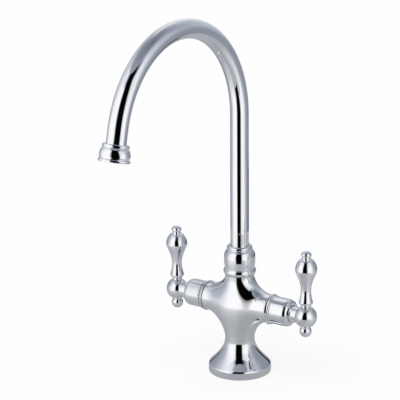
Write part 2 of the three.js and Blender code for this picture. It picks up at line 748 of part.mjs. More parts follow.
function spoutEndBell() {
  const hole = TUBE_RADIUS + CLEARANCE;
  const flangeTop = -BELL_LENGTH + BELL_FLANGE_WIDTH;
  const domeTop = -TIP_RING_WIDTH - CHAMFER;
  return turned(
    [
      [hole, 0],
      ...bead([TIP_RING_RADIUS, 0], [TIP_RING_RADIUS, -TIP_RING_WIDTH], TIP_RING_RISE, 3),
      ...through(
        [
          [TIP_RING_RADIUS + CHAMFER / 2, domeTop],
          [BELL_RADIUS - 0.75, domeTop - 2.2],
          [BELL_RADIUS, domeTop - 5],
          [BELL_RADIUS - 0.2, flangeTop + 2],
          [BELL_RADIUS - 0.8, flangeTop + CHAMFER],
        ],
        6,
      ),
      ...bead(
        [BELL_FLANGE_RADIUS, flangeTop],
        [BELL_FLANGE_RADIUS, -BELL_LENGTH],
        BELL_FLANGE_RISE,
        3,
      ),
      [BELL_CAVITY_RADIUS, -BELL_LENGTH],
      [BELL_CAVITY_RADIUS, -BELL_SOCKET_DEPTH],
      [hole, -BELL_SOCKET_DEPTH],
      [hole, 0],
    ],
    SIDES_LARGE,
  );
}

const aeratorWasher = () =>
  ring(
    INSERT_RADIUS - AERATOR_WALL,
    AERATOR_RADIUS,
    WASHER_TOP - AERATOR_WASHER_THICKNESS,
    WASHER_TOP,
    SIDES_MEDIUM,
  );

const aeratorShell = () =>
  turned(
    [
      [INSERT_RADIUS - AERATOR_LIP, SHELL_BOTTOM],
      [AERATOR_RADIUS, SHELL_BOTTOM],
      [AERATOR_RADIUS, SHELL_TOP],
      [INSERT_RADIUS + CLEARANCE, SHELL_TOP],
      [INSERT_RADIUS + CLEARANCE, SHELL_BOTTOM + AERATOR_LIP],
      [INSERT_RADIUS - AERATOR_LIP, SHELL_BOTTOM + AERATOR_LIP],
      [INSERT_RADIUS - AERATOR_LIP, SHELL_BOTTOM],
    ],
    SIDES_MEDIUM,
  );

// A round plate with a ring of holes for the water.
function sieve(bottom, top, holes, holeRadius) {
  const plate = bar(INSERT_RADIUS, bottom, top, SIDES_MEDIUM);
  const drills = Array.from({ length: holes }, (_, i) => {
    const angle = (2 * Math.PI * i) / holes;
    const reach = INSERT_RADIUS * 0.62;
    return bar(
      holeRadius,
      bottom - CHAMFER,
      top + CHAMFER,
      6,
      reach * Math.cos(angle),
      reach * Math.sin(angle),
    );
  });
  return cut(plate, ...drills);
}

const aeratorInsert = () =>
  sieve(INSERT_BOTTOM, SHELL_TOP, AERATOR_INSERT_HOLES, AERATOR_HOLE_RADIUS);

const aeratorScreen = () =>
  sieve(
    SCREEN_BOTTOM,
    SCREEN_BOTTOM + SCREEN_THICKNESS,
    AERATOR_INSERT_HOLES,
    AERATOR_HOLE_RADIUS,
  );

// ---------------------------------------------------------------- valves
// Made along Z, which is each arm's axis: height is the distance from the column's axis.

function bonnetSleeve() {
  const flangeEnd = SLEEVE_START + SLEEVE_FLANGE_WIDTH;
  const domeStart = SLEEVE_START + SLEEVE_STRAIGHT;
  const mouth = HUB_COLLAR_RADIUS + CLEARANCE;
  const thread = HOUSING_NOSE_RADIUS + CLEARANCE;
  const hexEnd = HOUSING_NOSE_START + CLEARANCE;
  const throat = HUB_START - CLEARANCE;
  return turned(
    [
      [SLEEVE_HEX_ROOM, SLEEVE_START],
      ...bead([SLEEVE_FLANGE_RADIUS, SLEEVE_START], [SLEEVE_FLANGE_RADIUS, flangeEnd], 0.2, 2),
      [SLEEVE_RADIUS, flangeEnd + CHAMFER / 2],
      ...flare(
        [SLEEVE_RADIUS, domeStart],
        [SLEEVE_RADIUS - 0.2, domeStart + 2.2],
        [SLEEVE_RADIUS - 1.2, SLEEVE_END - 3],
        [SLEEVE_NOSE_RADIUS, SLEEVE_END],
        6,
      ),
      [mouth, SLEEVE_END],
      [mouth, throat],
      [thread, throat - (thread - mouth)],
      [thread, hexEnd],
      [SLEEVE_HEX_ROOM, hexEnd],
      [SLEEVE_HEX_ROOM, SLEEVE_START],
    ],
    SIDES_LARGE,
  );
}

const housingThread = CARTRIDGE_BORE_RADIUS - CLEARANCE;
const housingGroove = housingThread - SEAL_GROOVE_DEPTH;
const housingSealStart = HOUSING_CEILING + CHAMFER;
const housingSealWidth = CARTRIDGE_BORE_RADIUS - housingGroove;

function cartridgeHousing() {
  const room = DISC_RADIUS + CLEARANCE;
  const stemHole = STEM_RADIUS + CLEARANCE;
  const tube = turned(
    [
      [room, HOUSING_START],
      [HOUSING_WAIST_RADIUS, HOUSING_START],
      [HOUSING_WAIST_RADIUS, HOUSING_CEILING],
      [housingThread, HOUSING_CEILING],
      [housingThread, housingSealStart],
      [housingGroove, housingSealStart],
      [housingGroove, housingSealStart + housingSealWidth],
      [housingThread, housingSealStart + housingSealWidth],
      [housingThread, SLEEVE_START],
      [HOUSING_NOSE_RADIUS, SLEEVE_START],
      [HOUSING_NOSE_RADIUS, HOUSING_END - CHAMFER],
      [HOUSING_NOSE_RADIUS - CHAMFER, HOUSING_END],
      [stemHole, HOUSING_END],
      [stemHole, HOUSING_CEILING],
      [room, HOUSING_CEILING],
      [room, HOUSING_START],
    ],
    SIDES_MEDIUM,
  );
  const hexagon = ring(
    HOUSING_NOSE_RADIUS - CHAMFER,
    HOUSING_HEX_RADIUS,
    SLEEVE_START,
    HOUSING_NOSE_START,
    6,
  );
  const windowLength = DRIVER_THICKNESS;
  const window = block(HOUSING_WINDOW_WIDTH, 3 * CARTRIDGE_BORE_RADIUS, windowLength, [
    0,
    0,
    MOVING_DISC_START + windowLength / 2 + CHAMFER,
  ]);
  return cut(joined(tube, hexagon), window);
}

const cartridgeSeal = () =>
  sealingRing(housingGroove, CARTRIDGE_BORE_RADIUS, housingSealStart + housingSealWidth / 2);

const seatSeal = () =>
  ring(
    SEAT_SEAL_HOLE,
    DISC_RADIUS,
    VALVE_SEAT + CLEARANCE,
    VALVE_SEAT + CLEARANCE + SEAT_SEAL_THICKNESS,
    SIDES_MEDIUM,
  );

// A ceramic disc with two ports; `turn` sets the line on which they lie.
function ceramicDisc(start, turn) {
  const ports = [0, Math.PI].map((half) =>
    bar(
      DISC_PORT_RADIUS,
      start - CHAMFER,
      start + DISC_THICKNESS + CHAMFER,
      SIDES_SMALL,
      DISC_PORT_OFFSET * Math.cos(turn + half),
      DISC_PORT_OFFSET * Math.sin(turn + half),
    ),
  );
  return cut(bar(DISC_RADIUS, start, start + DISC_THICKNESS, SIDES_MEDIUM), ...ports);
}

function valveStem() {
  const grooveStart = CIRCLIP_START - RING_CLEARANCE;
  const grooveEnd = CIRCLIP_START + CIRCLIP_THICKNESS + RING_CLEARANCE;
  const groove = STEM_RADIUS - CIRCLIP_GROOVE_DEPTH;
  return turned(
    [
      [0, DRIVER_START],
      [DISC_RADIUS, DRIVER_START],
      [DISC_RADIUS, DRIVER_START + DRIVER_THICKNESS],
      [STEM_RADIUS, DRIVER_START + DRIVER_THICKNESS],
      [STEM_RADIUS, grooveStart],
      [groove, grooveStart],
      [groove, grooveEnd],
      [STEM_RADIUS, grooveEnd],
      [STEM_RADIUS, STEM_END - CHAMFER],
      [STEM_RADIUS - CHAMFER, STEM_END],
      [0, STEM_END],
    ],
    SIDES_MEDIUM,
  );
}

function stemCirclip() {
  const inner = STEM_RADIUS - CIRCLIP_GROOVE_DEPTH + RING_CLEARANCE;
  const end = CIRCLIP_START + CIRCLIP_THICKNESS;
  const whole = ring(inner, CIRCLIP_RADIUS, CIRCLIP_START, end, SIDES_MEDIUM);
  const mouth = block(CIRCLIP_MOUTH, CIRCLIP_RADIUS, 3 * CIRCLIP_THICKNESS, [
    0,
    CIRCLIP_RADIUS / 2 + CIRCLIP_THICKNESS,
    CIRCLIP_START,
  ]);
  return cut(whole, mouth);
}

// ---------------------------------------------------------------- handles
// Made about the hub's centre, with the collar towards -X and the lever up.

const COLLAR_END = HUB_START - HANDLE_OFFSET;
const STEM_TIP = STEM_END - HANDLE_OFFSET;
const SCREW_PLACE = SLEEVE_END + SET_SCREW_INSET - HANDLE_OFFSET;
const SCREW_TOP = -STEM_RADIUS - CLEARANCE;
const LEVER_BASE = HUB_FLAT + CLEARANCE;

function handleHub() {
  const flatRadius = Math.sqrt(HUB_RADIUS ** 2 - HUB_FLAT ** 2);
  const flatAngle = THREE.MathUtils.radToDeg(Math.asin(HUB_FLAT / HUB_RADIUS));
  const ball = turned(
    [
      [0, -HUB_FLAT],
      [flatRadius, -HUB_FLAT],
      ...oval([0, 0], [HUB_RADIUS, HUB_RADIUS], -flatAngle, flatAngle, 8).slice(1, -1),
      [flatRadius, HUB_FLAT],
      [0, HUB_FLAT],
    ],
    SIDES_MEDIUM,
  );
  const collar = alongX(
    turned(
      [
        [0, COLLAR_END],
        [HUB_COLLAR_RADIUS - CHAMFER, COLLAR_END],
        [HUB_COLLAR_RADIUS, COLLAR_END + CHAMFER],
        [HUB_COLLAR_RADIUS, 0],
        [0, 0],
      ],
      SIDES_MEDIUM,
    ),
  );
  const spigotFloor = HUB_FLAT - SPIGOT_DEPTH - CLEARANCE;
  return cut(
    joined(ball, collar),
    alongX(bar(STEM_RADIUS + CLEARANCE, COLLAR_END - CHAMFER, STEM_TIP + CLEARANCE, SIDES_MEDIUM)),
    bar(LEVER_SPIGOT_RADIUS + CLEARANCE, spigotFloor, HUB_RADIUS, SIDES_SMALL),
    bar(FINIAL_SPIGOT_RADIUS + CLEARANCE, -HUB_RADIUS, -spigotFloor, SIDES_SMALL),
    bar(SET_SCREW_RADIUS + CLEARANCE, -HUB_RADIUS, -STEM_RADIUS / 2, 8, SCREW_PLACE),
  );
}

function lever() {
  const collarsTop = LEVER_BASE + 2 * LEVER_COLLAR_HEIGHT;
  const foot = collarsTop + LEVER_FOOT_HEIGHT;
  const waist = foot + LEVER_WAIST_RISE;
  const bulb = waist + LEVER_BULB_RISE;
  const shoulder = bulb + LEVER_SHOULDER_RISE;
  const neck = shoulder + LEVER_NECK_RISE;
  const spigotBottom = HUB_FLAT - SPIGOT_DEPTH;
  const collars = [0, 1].flatMap((row) => {
    const low = LEVER_BASE + row * LEVER_COLLAR_HEIGHT;
    const radius = LEVER_COLLAR_RADIUS - 0.4;
    return bead([radius, low], [radius, low + LEVER_COLLAR_HEIGHT], 0.4, 2);
  });
  const buttonMiddle = neck + LEVER_BUTTON_HEIGHT / 2;
  const buttonStart = THREE.MathUtils.radToDeg(Math.acos(LEVER_NECK_RADIUS / LEVER_BUTTON_RADIUS));
  return turned(
    [
      [0, spigotBottom],
      [LEVER_SPIGOT_RADIUS, spigotBottom],
      [LEVER_SPIGOT_RADIUS, LEVER_BASE],
      ...collars,
      [LEVER_FOOT_RADIUS - 1.7, collarsTop + 0.2],
      [LEVER_FOOT_RADIUS - 0.4, collarsTop + 0.35 * LEVER_FOOT_HEIGHT],
      ...through(
        [
          [LEVER_FOOT_RADIUS, foot],
          [(LEVER_FOOT_RADIUS + LEVER_WAIST_RADIUS) / 2 - 0.35, foot + 0.45 * LEVER_WAIST_RISE],
          [LEVER_WAIST_RADIUS, waist],
          [LEVER_WAIST_RADIUS + 0.65, waist + 0.27 * LEVER_BULB_RISE],
          [(LEVER_WAIST_RADIUS + LEVER_BULB_RADIUS) / 2 - 0.3, waist + 0.57 * LEVER_BULB_RISE],
          [LEVER_BULB_RADIUS - 1, waist + 0.81 * LEVER_BULB_RISE],
          [LEVER_BULB_RADIUS, bulb],
          [(LEVER_BULB_RADIUS + LEVER_SHOULDER_RADIUS) / 2 + 0.4, bulb + 0.6 * LEVER_SHOULDER_RISE],
          [LEVER_SHOULDER_RADIUS, shoulder],
        ],
        16,
      ),
      [LEVER_SHOULDER_RADIUS - 1, shoulder + 0.45 * LEVER_NECK_RISE],
      [LEVER_NECK_RADIUS + 1, shoulder + 0.8 * LEVER_NECK_RISE],
      [LEVER_NECK_RADIUS, neck],
      ...oval(
        [0, buttonMiddle],
        [LEVER_BUTTON_RADIUS, LEVER_BUTTON_HEIGHT / 2],
        -buttonStart,
        90,
        5,
      ),
    ],
    SIDES_MEDIUM,
  );
}

function lowerFinial() {
  const base = -HUB_FLAT - CLEARANCE;
  const neckEnd = base - FINIAL_NECK_LENGTH;
  const start = THREE.MathUtils.radToDeg(Math.acos(FINIAL_NECK_RADIUS / FINIAL_RADIUS));
  const centre = neckEnd - FINIAL_RADIUS * Math.sin(THREE.MathUtils.degToRad(start));
  return turned(
    [
      [0, -HUB_FLAT + SPIGOT_DEPTH],
      [FINIAL_SPIGOT_RADIUS, -HUB_FLAT + SPIGOT_DEPTH],
      [FINIAL_SPIGOT_RADIUS, base],
      [FINIAL_NECK_RADIUS, base],
      ...oval([0, centre], [FINIAL_RADIUS, FINIAL_RADIUS], start, -90, 6),
    ],
    SIDES_MEDIUM,
  );
}

function setScrew() {
  const bottom = SCREW_TOP - SET_SCREW_LENGTH;
  return cut(
    bar(SET_SCREW_RADIUS, bottom, SCREW_TOP, SIDES_SMALL, SCREW_PLACE),
    bar(SET_SCREW_SOCKET, bottom - CHAMFER, bottom + SET_SCREW_LENGTH / 2, 6, SCREW_PLACE),
  );
}

// ---------------------------------------------------------------- fixings under the deck

const SEAL_TOP = -DECK_THICKNESS;
const WASHER_BASE = SEAL_TOP - DECK_SEAL_THICKNESS - CLEARANCE - WASHER_THICKNESS;
const NUT_TOP = WASHER_BASE - CLEARANCE;
const SHANK_HOLE = SHANK_RADIUS + CLEARANCE; // inner radius of what goes over the shank

const mountingShank = () =>
  ring(
    SHANK_RADIUS - SHANK_WALL,
    SHANK_RADIUS,
    -SHANK_LENGTH,
    SHANK_INSERTION - CLEARANCE,
    SIDES_LARGE,
    CHAMFER,
  );

const baseGasket = () =>
  ring(GASKET_INNER_RADIUS, GASKET_OUTER_RADIUS, 0, GASKET_THICKNESS, SIDES_LARGE);

const deckSealWasher = () =>
  ring(
    SHANK_HOLE,
    DECK_SEAL_RADIUS,
    SEAL_TOP - DECK_SEAL_THICKNESS,
    SEAL_TOP,
    SIDES_LARGE,
    CHAMFER,
  );

const mountingWasher = () =>
  ring(SHANK_HOLE, WASHER_RADIUS, WASHER_BASE, WASHER_BASE + WASHER_THICKNESS, SIDES_LARGE);

function lockNut() {
  const bottom = NUT_TOP - LOCK_NUT_THICKNESS;
  const hexagon = new THREE.CylinderGeometry(
    LOCK_NUT_CORNERS,
    LOCK_NUT_CORNERS,
    LOCK_NUT_THICKNESS,
    6,
  )
    .rotateX(Math.PI / 2)
    .translate(0, 0, bottom + LOCK_NUT_THICKNESS / 2);
  const trimmed = turned(
    ringOutline(SHANK_HOLE, LOCK_NUT_CORNERS, bottom, NUT_TOP, LOCK_NUT_CHAMFER),
    SIDES_LARGE,
  );
  return common(hexagon, trimmed);
}

const inletTail = () =>
  ring(
    TAIL_RADIUS - TAIL_WALL,
    TAIL_RADIUS,
    -TAIL_DROP,
    SHANK_INSERTION + TAIL_INSERTION - CLEARANCE,
    SIDES_MEDIUM,
    CHAMFER,
  );

// ---------------------------------------------------------------- materials

const finish = (color, metalness, roughness) =>
  new THREE.MeshStandardMaterial({ color, metalness, roughness });

const CHROME = () => finish(0xd4d8de, 1, 0.06);
const BRASS = () => finish(0xb98f45, 1, 0.35);
const STEEL = () => finish(0x9a9da1, 1, 0.4);
const RUBBER = () => finish(0x191919, 0, 0.8);
const CERAMIC = () => finish(0xe9e6dc, 0, 0.3);
const ACETAL = () => finish(0xe4e4e0, 0, 0.5);
const COPPER = () => finish(0xb4694a, 1, 0.4);

// ---------------------------------------------------------------- assembly

function piece(name, geometry, material) {
  const mesh = new THREE.Mesh(geometry, material);
  mesh.name = name;
  return mesh;
}

const faucet = new THREE.Group();

faucet.add(
  piece("faucet_body", bodyGeometry(), CHROME()),
  piece("spout_nut", spoutNut(), CHROME()),
  piece("base_gasket", baseGasket(), RUBBER()),
  piece("mounting_shank", mountingShank(), BRASS()),
  piece("deck_seal_washer", deckSealWasher(), RUBBER()),
  piece("mounting_washer", mountingWasher(), STEEL()),
  piece("mounting_nut", lockNut(), BRASS()),
);

const spout = new THREE.Group();
spout.add(
  piece("spout_tube", spoutTube(), CHROME()),
  piece("spout_foot", spoutFoot(), BRASS()),
  piece("spout_seal_lower", spoutSeal(0), RUBBER()),
  piece("spout_seal_upper", spoutSeal(1), RUBBER()),
  piece("spout_bearing_washer", bearingWasher(), ACETAL()),
);

// The tip sits on the tube's end and points along it.
const tip = new THREE.Group();
const tubeEnd = new Gooseneck().getPoint(1);
const tubeEndAxis = new Gooseneck().getTangent(1).negate();
tip.position.copy(tubeEnd).addScaledVector(tubeEndAxis, TUBE_IN_TIP);
tip.rotation.x = ARCH_TURN - Math.PI;
tip.add(
  piece("spout_end_bell", spoutEndBell(), CHROME()),
  piece("aerator_washer", aeratorWasher(), RUBBER()),
  piece("aerator_shell", aeratorShell(), CHROME()),
  piece("aerator_insert", aeratorInsert(), ACETAL()),
  piece("aerator_screen", aeratorScreen(), STEEL()),
);
spout.add(tip);
faucet.add(spout);

for (const [name, side] of [
  ["hot", -1],
  ["cold", 1],
]) {
  const valve = new THREE.Group();
  valve.position.z = ARM_HEIGHT;
  valve.rotation.y = side * (Math.PI / 2);
  valve.add(
    piece(name + "_bonnet_sleeve", bonnetSleeve(), CHROME()),
    piece(name + "_cartridge_housing", cartridgeHousing(), BRASS()),
    piece(name + "_cartridge_seal", cartridgeSeal(), RUBBER()),
    piece(name + "_seat_seal", seatSeal(), RUBBER()),
    piece(name + "_fixed_disc", ceramicDisc(FIXED_DISC_START, 0), CERAMIC()),
    piece(name + "_moving_disc", ceramicDisc(MOVING_DISC_START, Math.PI / 2), CERAMIC()),
    piece(name + "_valve_stem", valveStem(), BRASS()),
    piece(name + "_stem_circlip", stemCirclip(), STEEL()),
  );

  const handle = new THREE.Group();
  handle.position.set(side * HANDLE_OFFSET, 0, ARM_HEIGHT);
  handle.rotation.z = side < 0 ? Math.PI : 0;
  handle.add(
    piece(name + "_handle_hub", handleHub(), CHROME()),
    piece(name + "_lever", lever(), CHROME()),
    piece(name + "_lower_finial", lowerFinial(), CHROME()),
    piece(name + "_set_screw", setScrew(), STEEL()),
  );

  const tail = piece(name + "_inlet_tail", inletTail(), COPPER());
  tail.position.x = side * INLET_OFFSET;
  faucet.add(valve, handle, tail);
}

export default faucet;
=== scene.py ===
"""The looks of a two handle kitchen faucet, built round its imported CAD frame.

Sizes in the classes are millimetres, as on a maker's drawing. Meshes are made in metres
and in the frame's own place: +Z up, the spout towards -Y, the cold handle on +X.
"""

import logging
import math
from collections.abc import Iterable, Sequence
from dataclasses import dataclass
from enum import Enum
from itertools import product

import bmesh
import bpy
import numpy as np
from mathutils import Matrix, Vector

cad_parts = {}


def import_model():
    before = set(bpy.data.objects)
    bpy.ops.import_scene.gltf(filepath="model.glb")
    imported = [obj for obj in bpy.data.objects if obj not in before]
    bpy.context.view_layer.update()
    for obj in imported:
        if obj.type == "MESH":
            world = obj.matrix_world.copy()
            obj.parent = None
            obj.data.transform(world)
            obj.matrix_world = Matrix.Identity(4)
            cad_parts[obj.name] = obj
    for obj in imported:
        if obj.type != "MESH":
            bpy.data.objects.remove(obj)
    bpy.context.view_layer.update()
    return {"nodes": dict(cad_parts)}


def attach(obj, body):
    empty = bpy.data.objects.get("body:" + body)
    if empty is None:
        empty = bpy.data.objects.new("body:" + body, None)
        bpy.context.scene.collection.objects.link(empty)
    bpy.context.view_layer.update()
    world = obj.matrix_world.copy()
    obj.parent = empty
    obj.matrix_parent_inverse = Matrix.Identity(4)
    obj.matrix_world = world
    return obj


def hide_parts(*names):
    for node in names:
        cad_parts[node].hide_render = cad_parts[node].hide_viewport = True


LOG = logging.getLogger("faucet")
MM = 0.001
GAP = 0.3
TOUCHING = 1e-6
WELD = 2e-7
SLIVER = 1e-8
ARM_HEIGHT = 70.8
HUB_CENTRE = 75.9
ORIGIN = Matrix.Identity(4)
X_WAY, Y_WAY, Z_WAY = (Vector(way) for way in ((1, 0, 0), (0, 1, 0), (0, 0, 1)))
Point = tuple[float, float]
Points = tuple[Point, ...]
Outline = list[Point]
Spot = tuple[float, float, float]
Loops = Sequence[Sequence[Sequence[float]]]
Face = tuple[int, ...]
Colour = tuple[float, float, float, float]
Mesh = bpy.types.Mesh
Socket = bpy.types.NodeSocket
Inputs = dict[str | int, object]


class Body(Enum):
    """The rigid bodies of the frame."""

    FIXED = "fixed_body"
    SPOUT = "spout"
    HOT = "hot_handle"
    COLD = "cold_handle"


class Side(Enum):
    """The two valves: hot on the left of someone at the sink, cold on the right."""

    HOT = -1
    COLD = 1

    @property
    def label(self) -> str:
        """The side's name, as the nodes begin."""
        return self.name.lower()

    @property
    def body(self) -> Body:
        """The body of this side's handle."""
        return Body[self.name]

    @property
    def arm(self) -> Matrix:
        """Turns a piece made along Z so that it lies along this side's arm."""
        lift = Matrix.Translation((0, 0, ARM_HEIGHT))
        return lift @ Matrix.Rotation(self.value * math.pi / 2, 4, "Y")

    @property
    def handle(self) -> Matrix:
        """Carries a piece made about the hub's centre to this side's handle."""
        turn = Matrix.Rotation(0 if self is Side.COLD else math.pi, 4, "Z")
        return Matrix.Translation((self.value * HUB_CENTRE, 0, ARM_HEIGHT)) @ turn


class Cut(Enum):
    """What a cutting shape leaves of a piece."""

    OUTSIDE = "DIFFERENCE"
    INSIDE = "INTERSECT"


# ------------------------------------------------------------------ outlines


def plain(points: Iterable[Sequence[float]]) -> Outline:
    """Writes points as pairs of plain numbers."""
    return [(float(p[0]), float(p[1])) for p in points]


def oval(centre: Point, radii: Point, start: float, end: float, steps: int) -> Outline:
    """Draws an arc of an ellipse.

    Args:
        centre: The ellipse's centre, as radius and height.
        radii: Its half widths along the radius and along the height.
        start: First angle in degrees, from the outward direction towards +Z.
        end: Last angle in degrees.
        steps: How many straight pieces make the arc.

    Returns:
        The points of the arc.
    """
    (out, up), (wide, tall) = centre, radii
    turns = np.radians(np.linspace(start, end, steps + 1))
    return plain((out + wide * math.cos(t), up + tall * math.sin(t)) for t in turns)


def bead(start: Point, end: Point, rise: float, steps: int = 14) -> Outline:
    """Draws a round bead: an arc that stands proud of the line between two points.

    Args:
        start: Where the bead begins.
        end: Where it ends.
        rise: How far its middle stands out.
        steps: How many straight pieces make the arc.

    Returns:
        The points of the arc.
    """
    a, b = np.array(start), np.array(end)
    half = float(np.linalg.norm(b - a)) / 2
    along = (b - a) / (2 * half)
    outward = np.sign(along[1]) * np.array([along[1], -along[0]])
    radius = (half * half + rise * rise) / (2 * rise)
    centre = (a + b) / 2 + outward * (rise - radius)
    reach = math.asin(min(1.0, half / radius))
    turns = np.linspace(-reach, reach, steps + 1)
    return plain(centre + (along * math.sin(t) + outward * math.cos(t)) * radius for t in turns)


def flare(start: Point, pull_start: Point, pull_end: Point, end: Point, steps: int) -> Outline:
    """Draws a cubic curve that leaves and meets its ends towards the two pulls.

    Args:
        start: First point.
        pull_start: The point that the curve sets out towards.
        pull_end: The point that the curve arrives from.
        end: Last point.
        steps: How many straight pieces make the curve.

    Returns:
        The points of the curve.
    """
    knots = np.array((start, pull_start, pull_end, end), float)
    shares = np.linspace(0, 1, steps + 1)
    weights = (((1 - t) ** 3, 3 * t * (1 - t) ** 2, 3 * t * t * (1 - t), t**3) for t in shares)
    return plain(np.array(w) @ knots for w in weights)


def through(points: Sequence[Point], steps: int) -> Outline:
    """Draws a smooth curve through every given point.

    Args:
        points: The points to pass through.
        steps: How many straight pieces make the whole curve.

    Returns:
        The points of the curve.
    """
    knots = np.array([points[0], *points, points[-1]], float)
    curve = []
    for s in np.linspace(0, len(points) - 1, steps + 1):
        i = min(int(s), len(points) - 2)
        t = s - i
        p0, p1, p2, p3 = knots[i : i + 4]
        v0, v1 = (p2 - p0) / 2, (p3 - p1) / 2
        cubic = (2 * p1 - 2 * p2 + v0 + v1) * t**3
        curve.append(cubic + (3 * p2 - 3 * p1 - 2 * v0 - v1) * t**2 + v0 * t + p1)
    return plain(curve)


def eased(outline: Outline, radius: float, steps: int = 4) -> Outline:
    """Rounds an outline's sharp corners, as a polished edge is.

    Args:
        outline: The outline; its first and last points stay as they are.
        radius: Radius of the rounding.
        steps: How many straight pieces make each rounding.

    Returns:
        The outline with its corners rounded.
    """
    blunt, sharpest, most_of_side = math.radians(24), 2.6, 0.45
    points = [np.array(outline[0], float)]
    for p in outline[1:]:
        if math.dist(p, points[-1]) > TOUCHING:
            points.append(np.array(p, float))
    curve = [points[0]]
    for before, corner, after in zip(points, points[1:], points[2:], strict=False):
        back, on = before - corner, after - corner
        len_back, len_on = np.linalg.norm(back), np.linalg.norm(on)
        cosine = float(-(back @ on) / (len_back * len_on))
        turn = math.acos(max(-1.0, min(1.0, cosine)))
        if turn < blunt:
            curve.append(corner)
            continue
        reach = radius * math.tan(min(turn, sharpest) / 2)
        reach = min(reach, most_of_side * len_back, most_of_side * len_on)
        p, q = corner + back / len_back * reach, corner + on / len_on * reach
        for t in np.linspace(0, 1, steps + 1):
            curve.append((1 - t) ** 2 * p + 2 * t * (1 - t) * corner + t * t * q)
    return plain([*curve, points[-1]])


def collar(inner: float, outer: float, bottom: float, top: float) -> Outline:
    """Draws the closed outline of a plain ring, starting at an inner corner.

    Args:
        inner: Inner radius.
        outer: Outer radius.
        bottom: Lower height.
        top: Upper height.

    Returns:
        The closed outline.
    """
    return [(inner, bottom), (outer, bottom), (outer, top), (inner, top), (inner, bottom)]


def rod(radius: float, start: float, end: float) -> Outline:
    """Draws a plain rod from its axis, over both ends, to its axis again."""
    return [(0.0, start), (radius, start), (radius, end), (0.0, end)]


# ------------------------------------------------------------------ meshes


@dataclass(frozen=True)
class Thread:
    """A screw thread cut into the cylinder of one radius, between two heights."""

    radius: float
    low: float
    high: float
    pitch: float = 1.5
    depth: float = 0.75

    def cut(self, radius: float, height: float, turn: float) -> float:
        """Gives the radius of the threaded surface.

        Args:
            radius: The plain radius there.
            height: Height of the point.
            turn: Its angle about the axis.

        Returns:
            The radius after the thread is cut.
        """
        if abs(radius - self.radius) > TOUCHING or not self.low <= height <= self.high:
            return radius
        phase = (height / self.pitch - turn / (2 * math.pi)) % 1
        # The groove's floor and the crest are each a quarter of the pitch, with slopes between.
        groove = min(1.0, max(0.0, 1.5 - abs(phase - 0.5) * 4))
        fade = min(1.0, (height - self.low) / self.pitch, (self.high - height) / self.pitch)
        return radius - self.depth * groove * fade


def stand(name: str, data: bpy.types.ID) -> bpy.types.Object:
    """Puts a new object in the scene.

    Args:
        name: The object's name.
        data: Its mesh, camera or light.

    Returns:
        The object.
    """
    thing = bpy.data.objects.new(name, data)
    bpy.context.scene.collection.objects.link(thing)
    return thing


def soften(mesh: Mesh, sharp: float = 34.0) -> Mesh:
    """Shades a mesh smooth, and keeps its edges sharp where faces meet steeply.

    Args:
        mesh: The mesh to shade.
        sharp: Angle in degrees from which an edge stays sharp.

    Returns:
        The same mesh.
    """
    mesh.shade_smooth()
    mesh.set_sharp_from_angle(angle=math.radians(sharp))
    return mesh


def made(
    name: str, coords: Sequence[Sequence[float]], faces: Sequence[Face], place: Matrix = ORIGIN
) -> Mesh:
    """Makes a mesh from millimetre coordinates and carries it to its place.

    Args:
        name: The mesh's name.
        coords: Its points in millimetres.
        faces: Its faces as point numbers.
        place: Where the piece goes, in millimetres.

    Returns:
        The mesh in metres, welded, facing outwards and shaded.
    """
    mesh = bpy.data.meshes.new(name)
    mesh.from_pydata([tuple(c) for c in coords], [], faces)
    mesh.transform(Matrix.Scale(MM, 4) @ place)
    work = bmesh.new()
    work.from_mesh(mesh)
    bmesh.ops.remove_doubles(work, verts=work.verts, dist=WELD)
    bmesh.ops.dissolve_degenerate(work, edges=work.edges, dist=SLIVER)
    bmesh.ops.recalc_face_normals(work, faces=work.faces)
    work.to_mesh(mesh)
    work.free()
    return soften(mesh)


def banded(
    loops: Loops, closed: bool = False, first: int = 0
) -> tuple[list[Sequence[float]], list[Face]]:
    """Joins loops of points, one after another, with faces.

    Args:
        loops: The loops; one of a single point is a pole.
        closed: Whether the last loop joins the first.
        first: The number of the first point.

    Returns:
        The points and the faces.
    """
    coords: list[Sequence[float]] = []
    rings: list[range] = []
    for loop in loops:
        start = first + len(coords)
        rings.append(range(start, start + len(loop)))
        coords.extend(loop)
    faces: list[Face] = []
    following = [*rings[1:], rings[0]] if closed else rings[1:]
    for low, high in zip(rings, following, strict=False):
        count = max(len(low), len(high))
        for i in range(count if count > 1 else 0):
            j = (i + 1) % count
            corners = ((low, i), (low, j), (high, j), (high, i))
            faces.append(tuple(dict.fromkeys(ring[k % len(ring)] for ring, k in corners)))
    return coords, faces


def skinned(
    name: str, loops: Loops, place: Matrix = ORIGIN, closed: bool = False, capped: bool = False
) -> Mesh:
    """Makes a mesh from loops of points.

    Args:
        name: The mesh's name.
        loops: The loops, in order.
        place: Where the piece goes.
        closed: Whether the last loop joins the first.
        capped: Whether a flat face fills the first loop and the last.

    Returns:
        The mesh.
    """
    coords, faces = banded(loops, closed)
    if capped:
        end = len(coords)
        faces += [tuple(range(len(loops[0]))), tuple(range(end - len(loops[-1]), end))]
    return made(name, coords, faces, place)


def circle(centre: Vector, aside: Vector, up: Vector, radius: float, sides: int) -> list[Vector]:
    """Draws a circle of points.

    Args:
        centre: Its centre.
        aside: The direction of its first point.
        up: The direction a quarter turn on.
        radius: Its radius.
        sides: How many points it has.

    Returns:
        The points.
    """
    turns = (2 * math.pi * i / sides for i in range(sides))
    return [centre + (aside * math.cos(t) + up * math.sin(t)) * radius for t in turns]


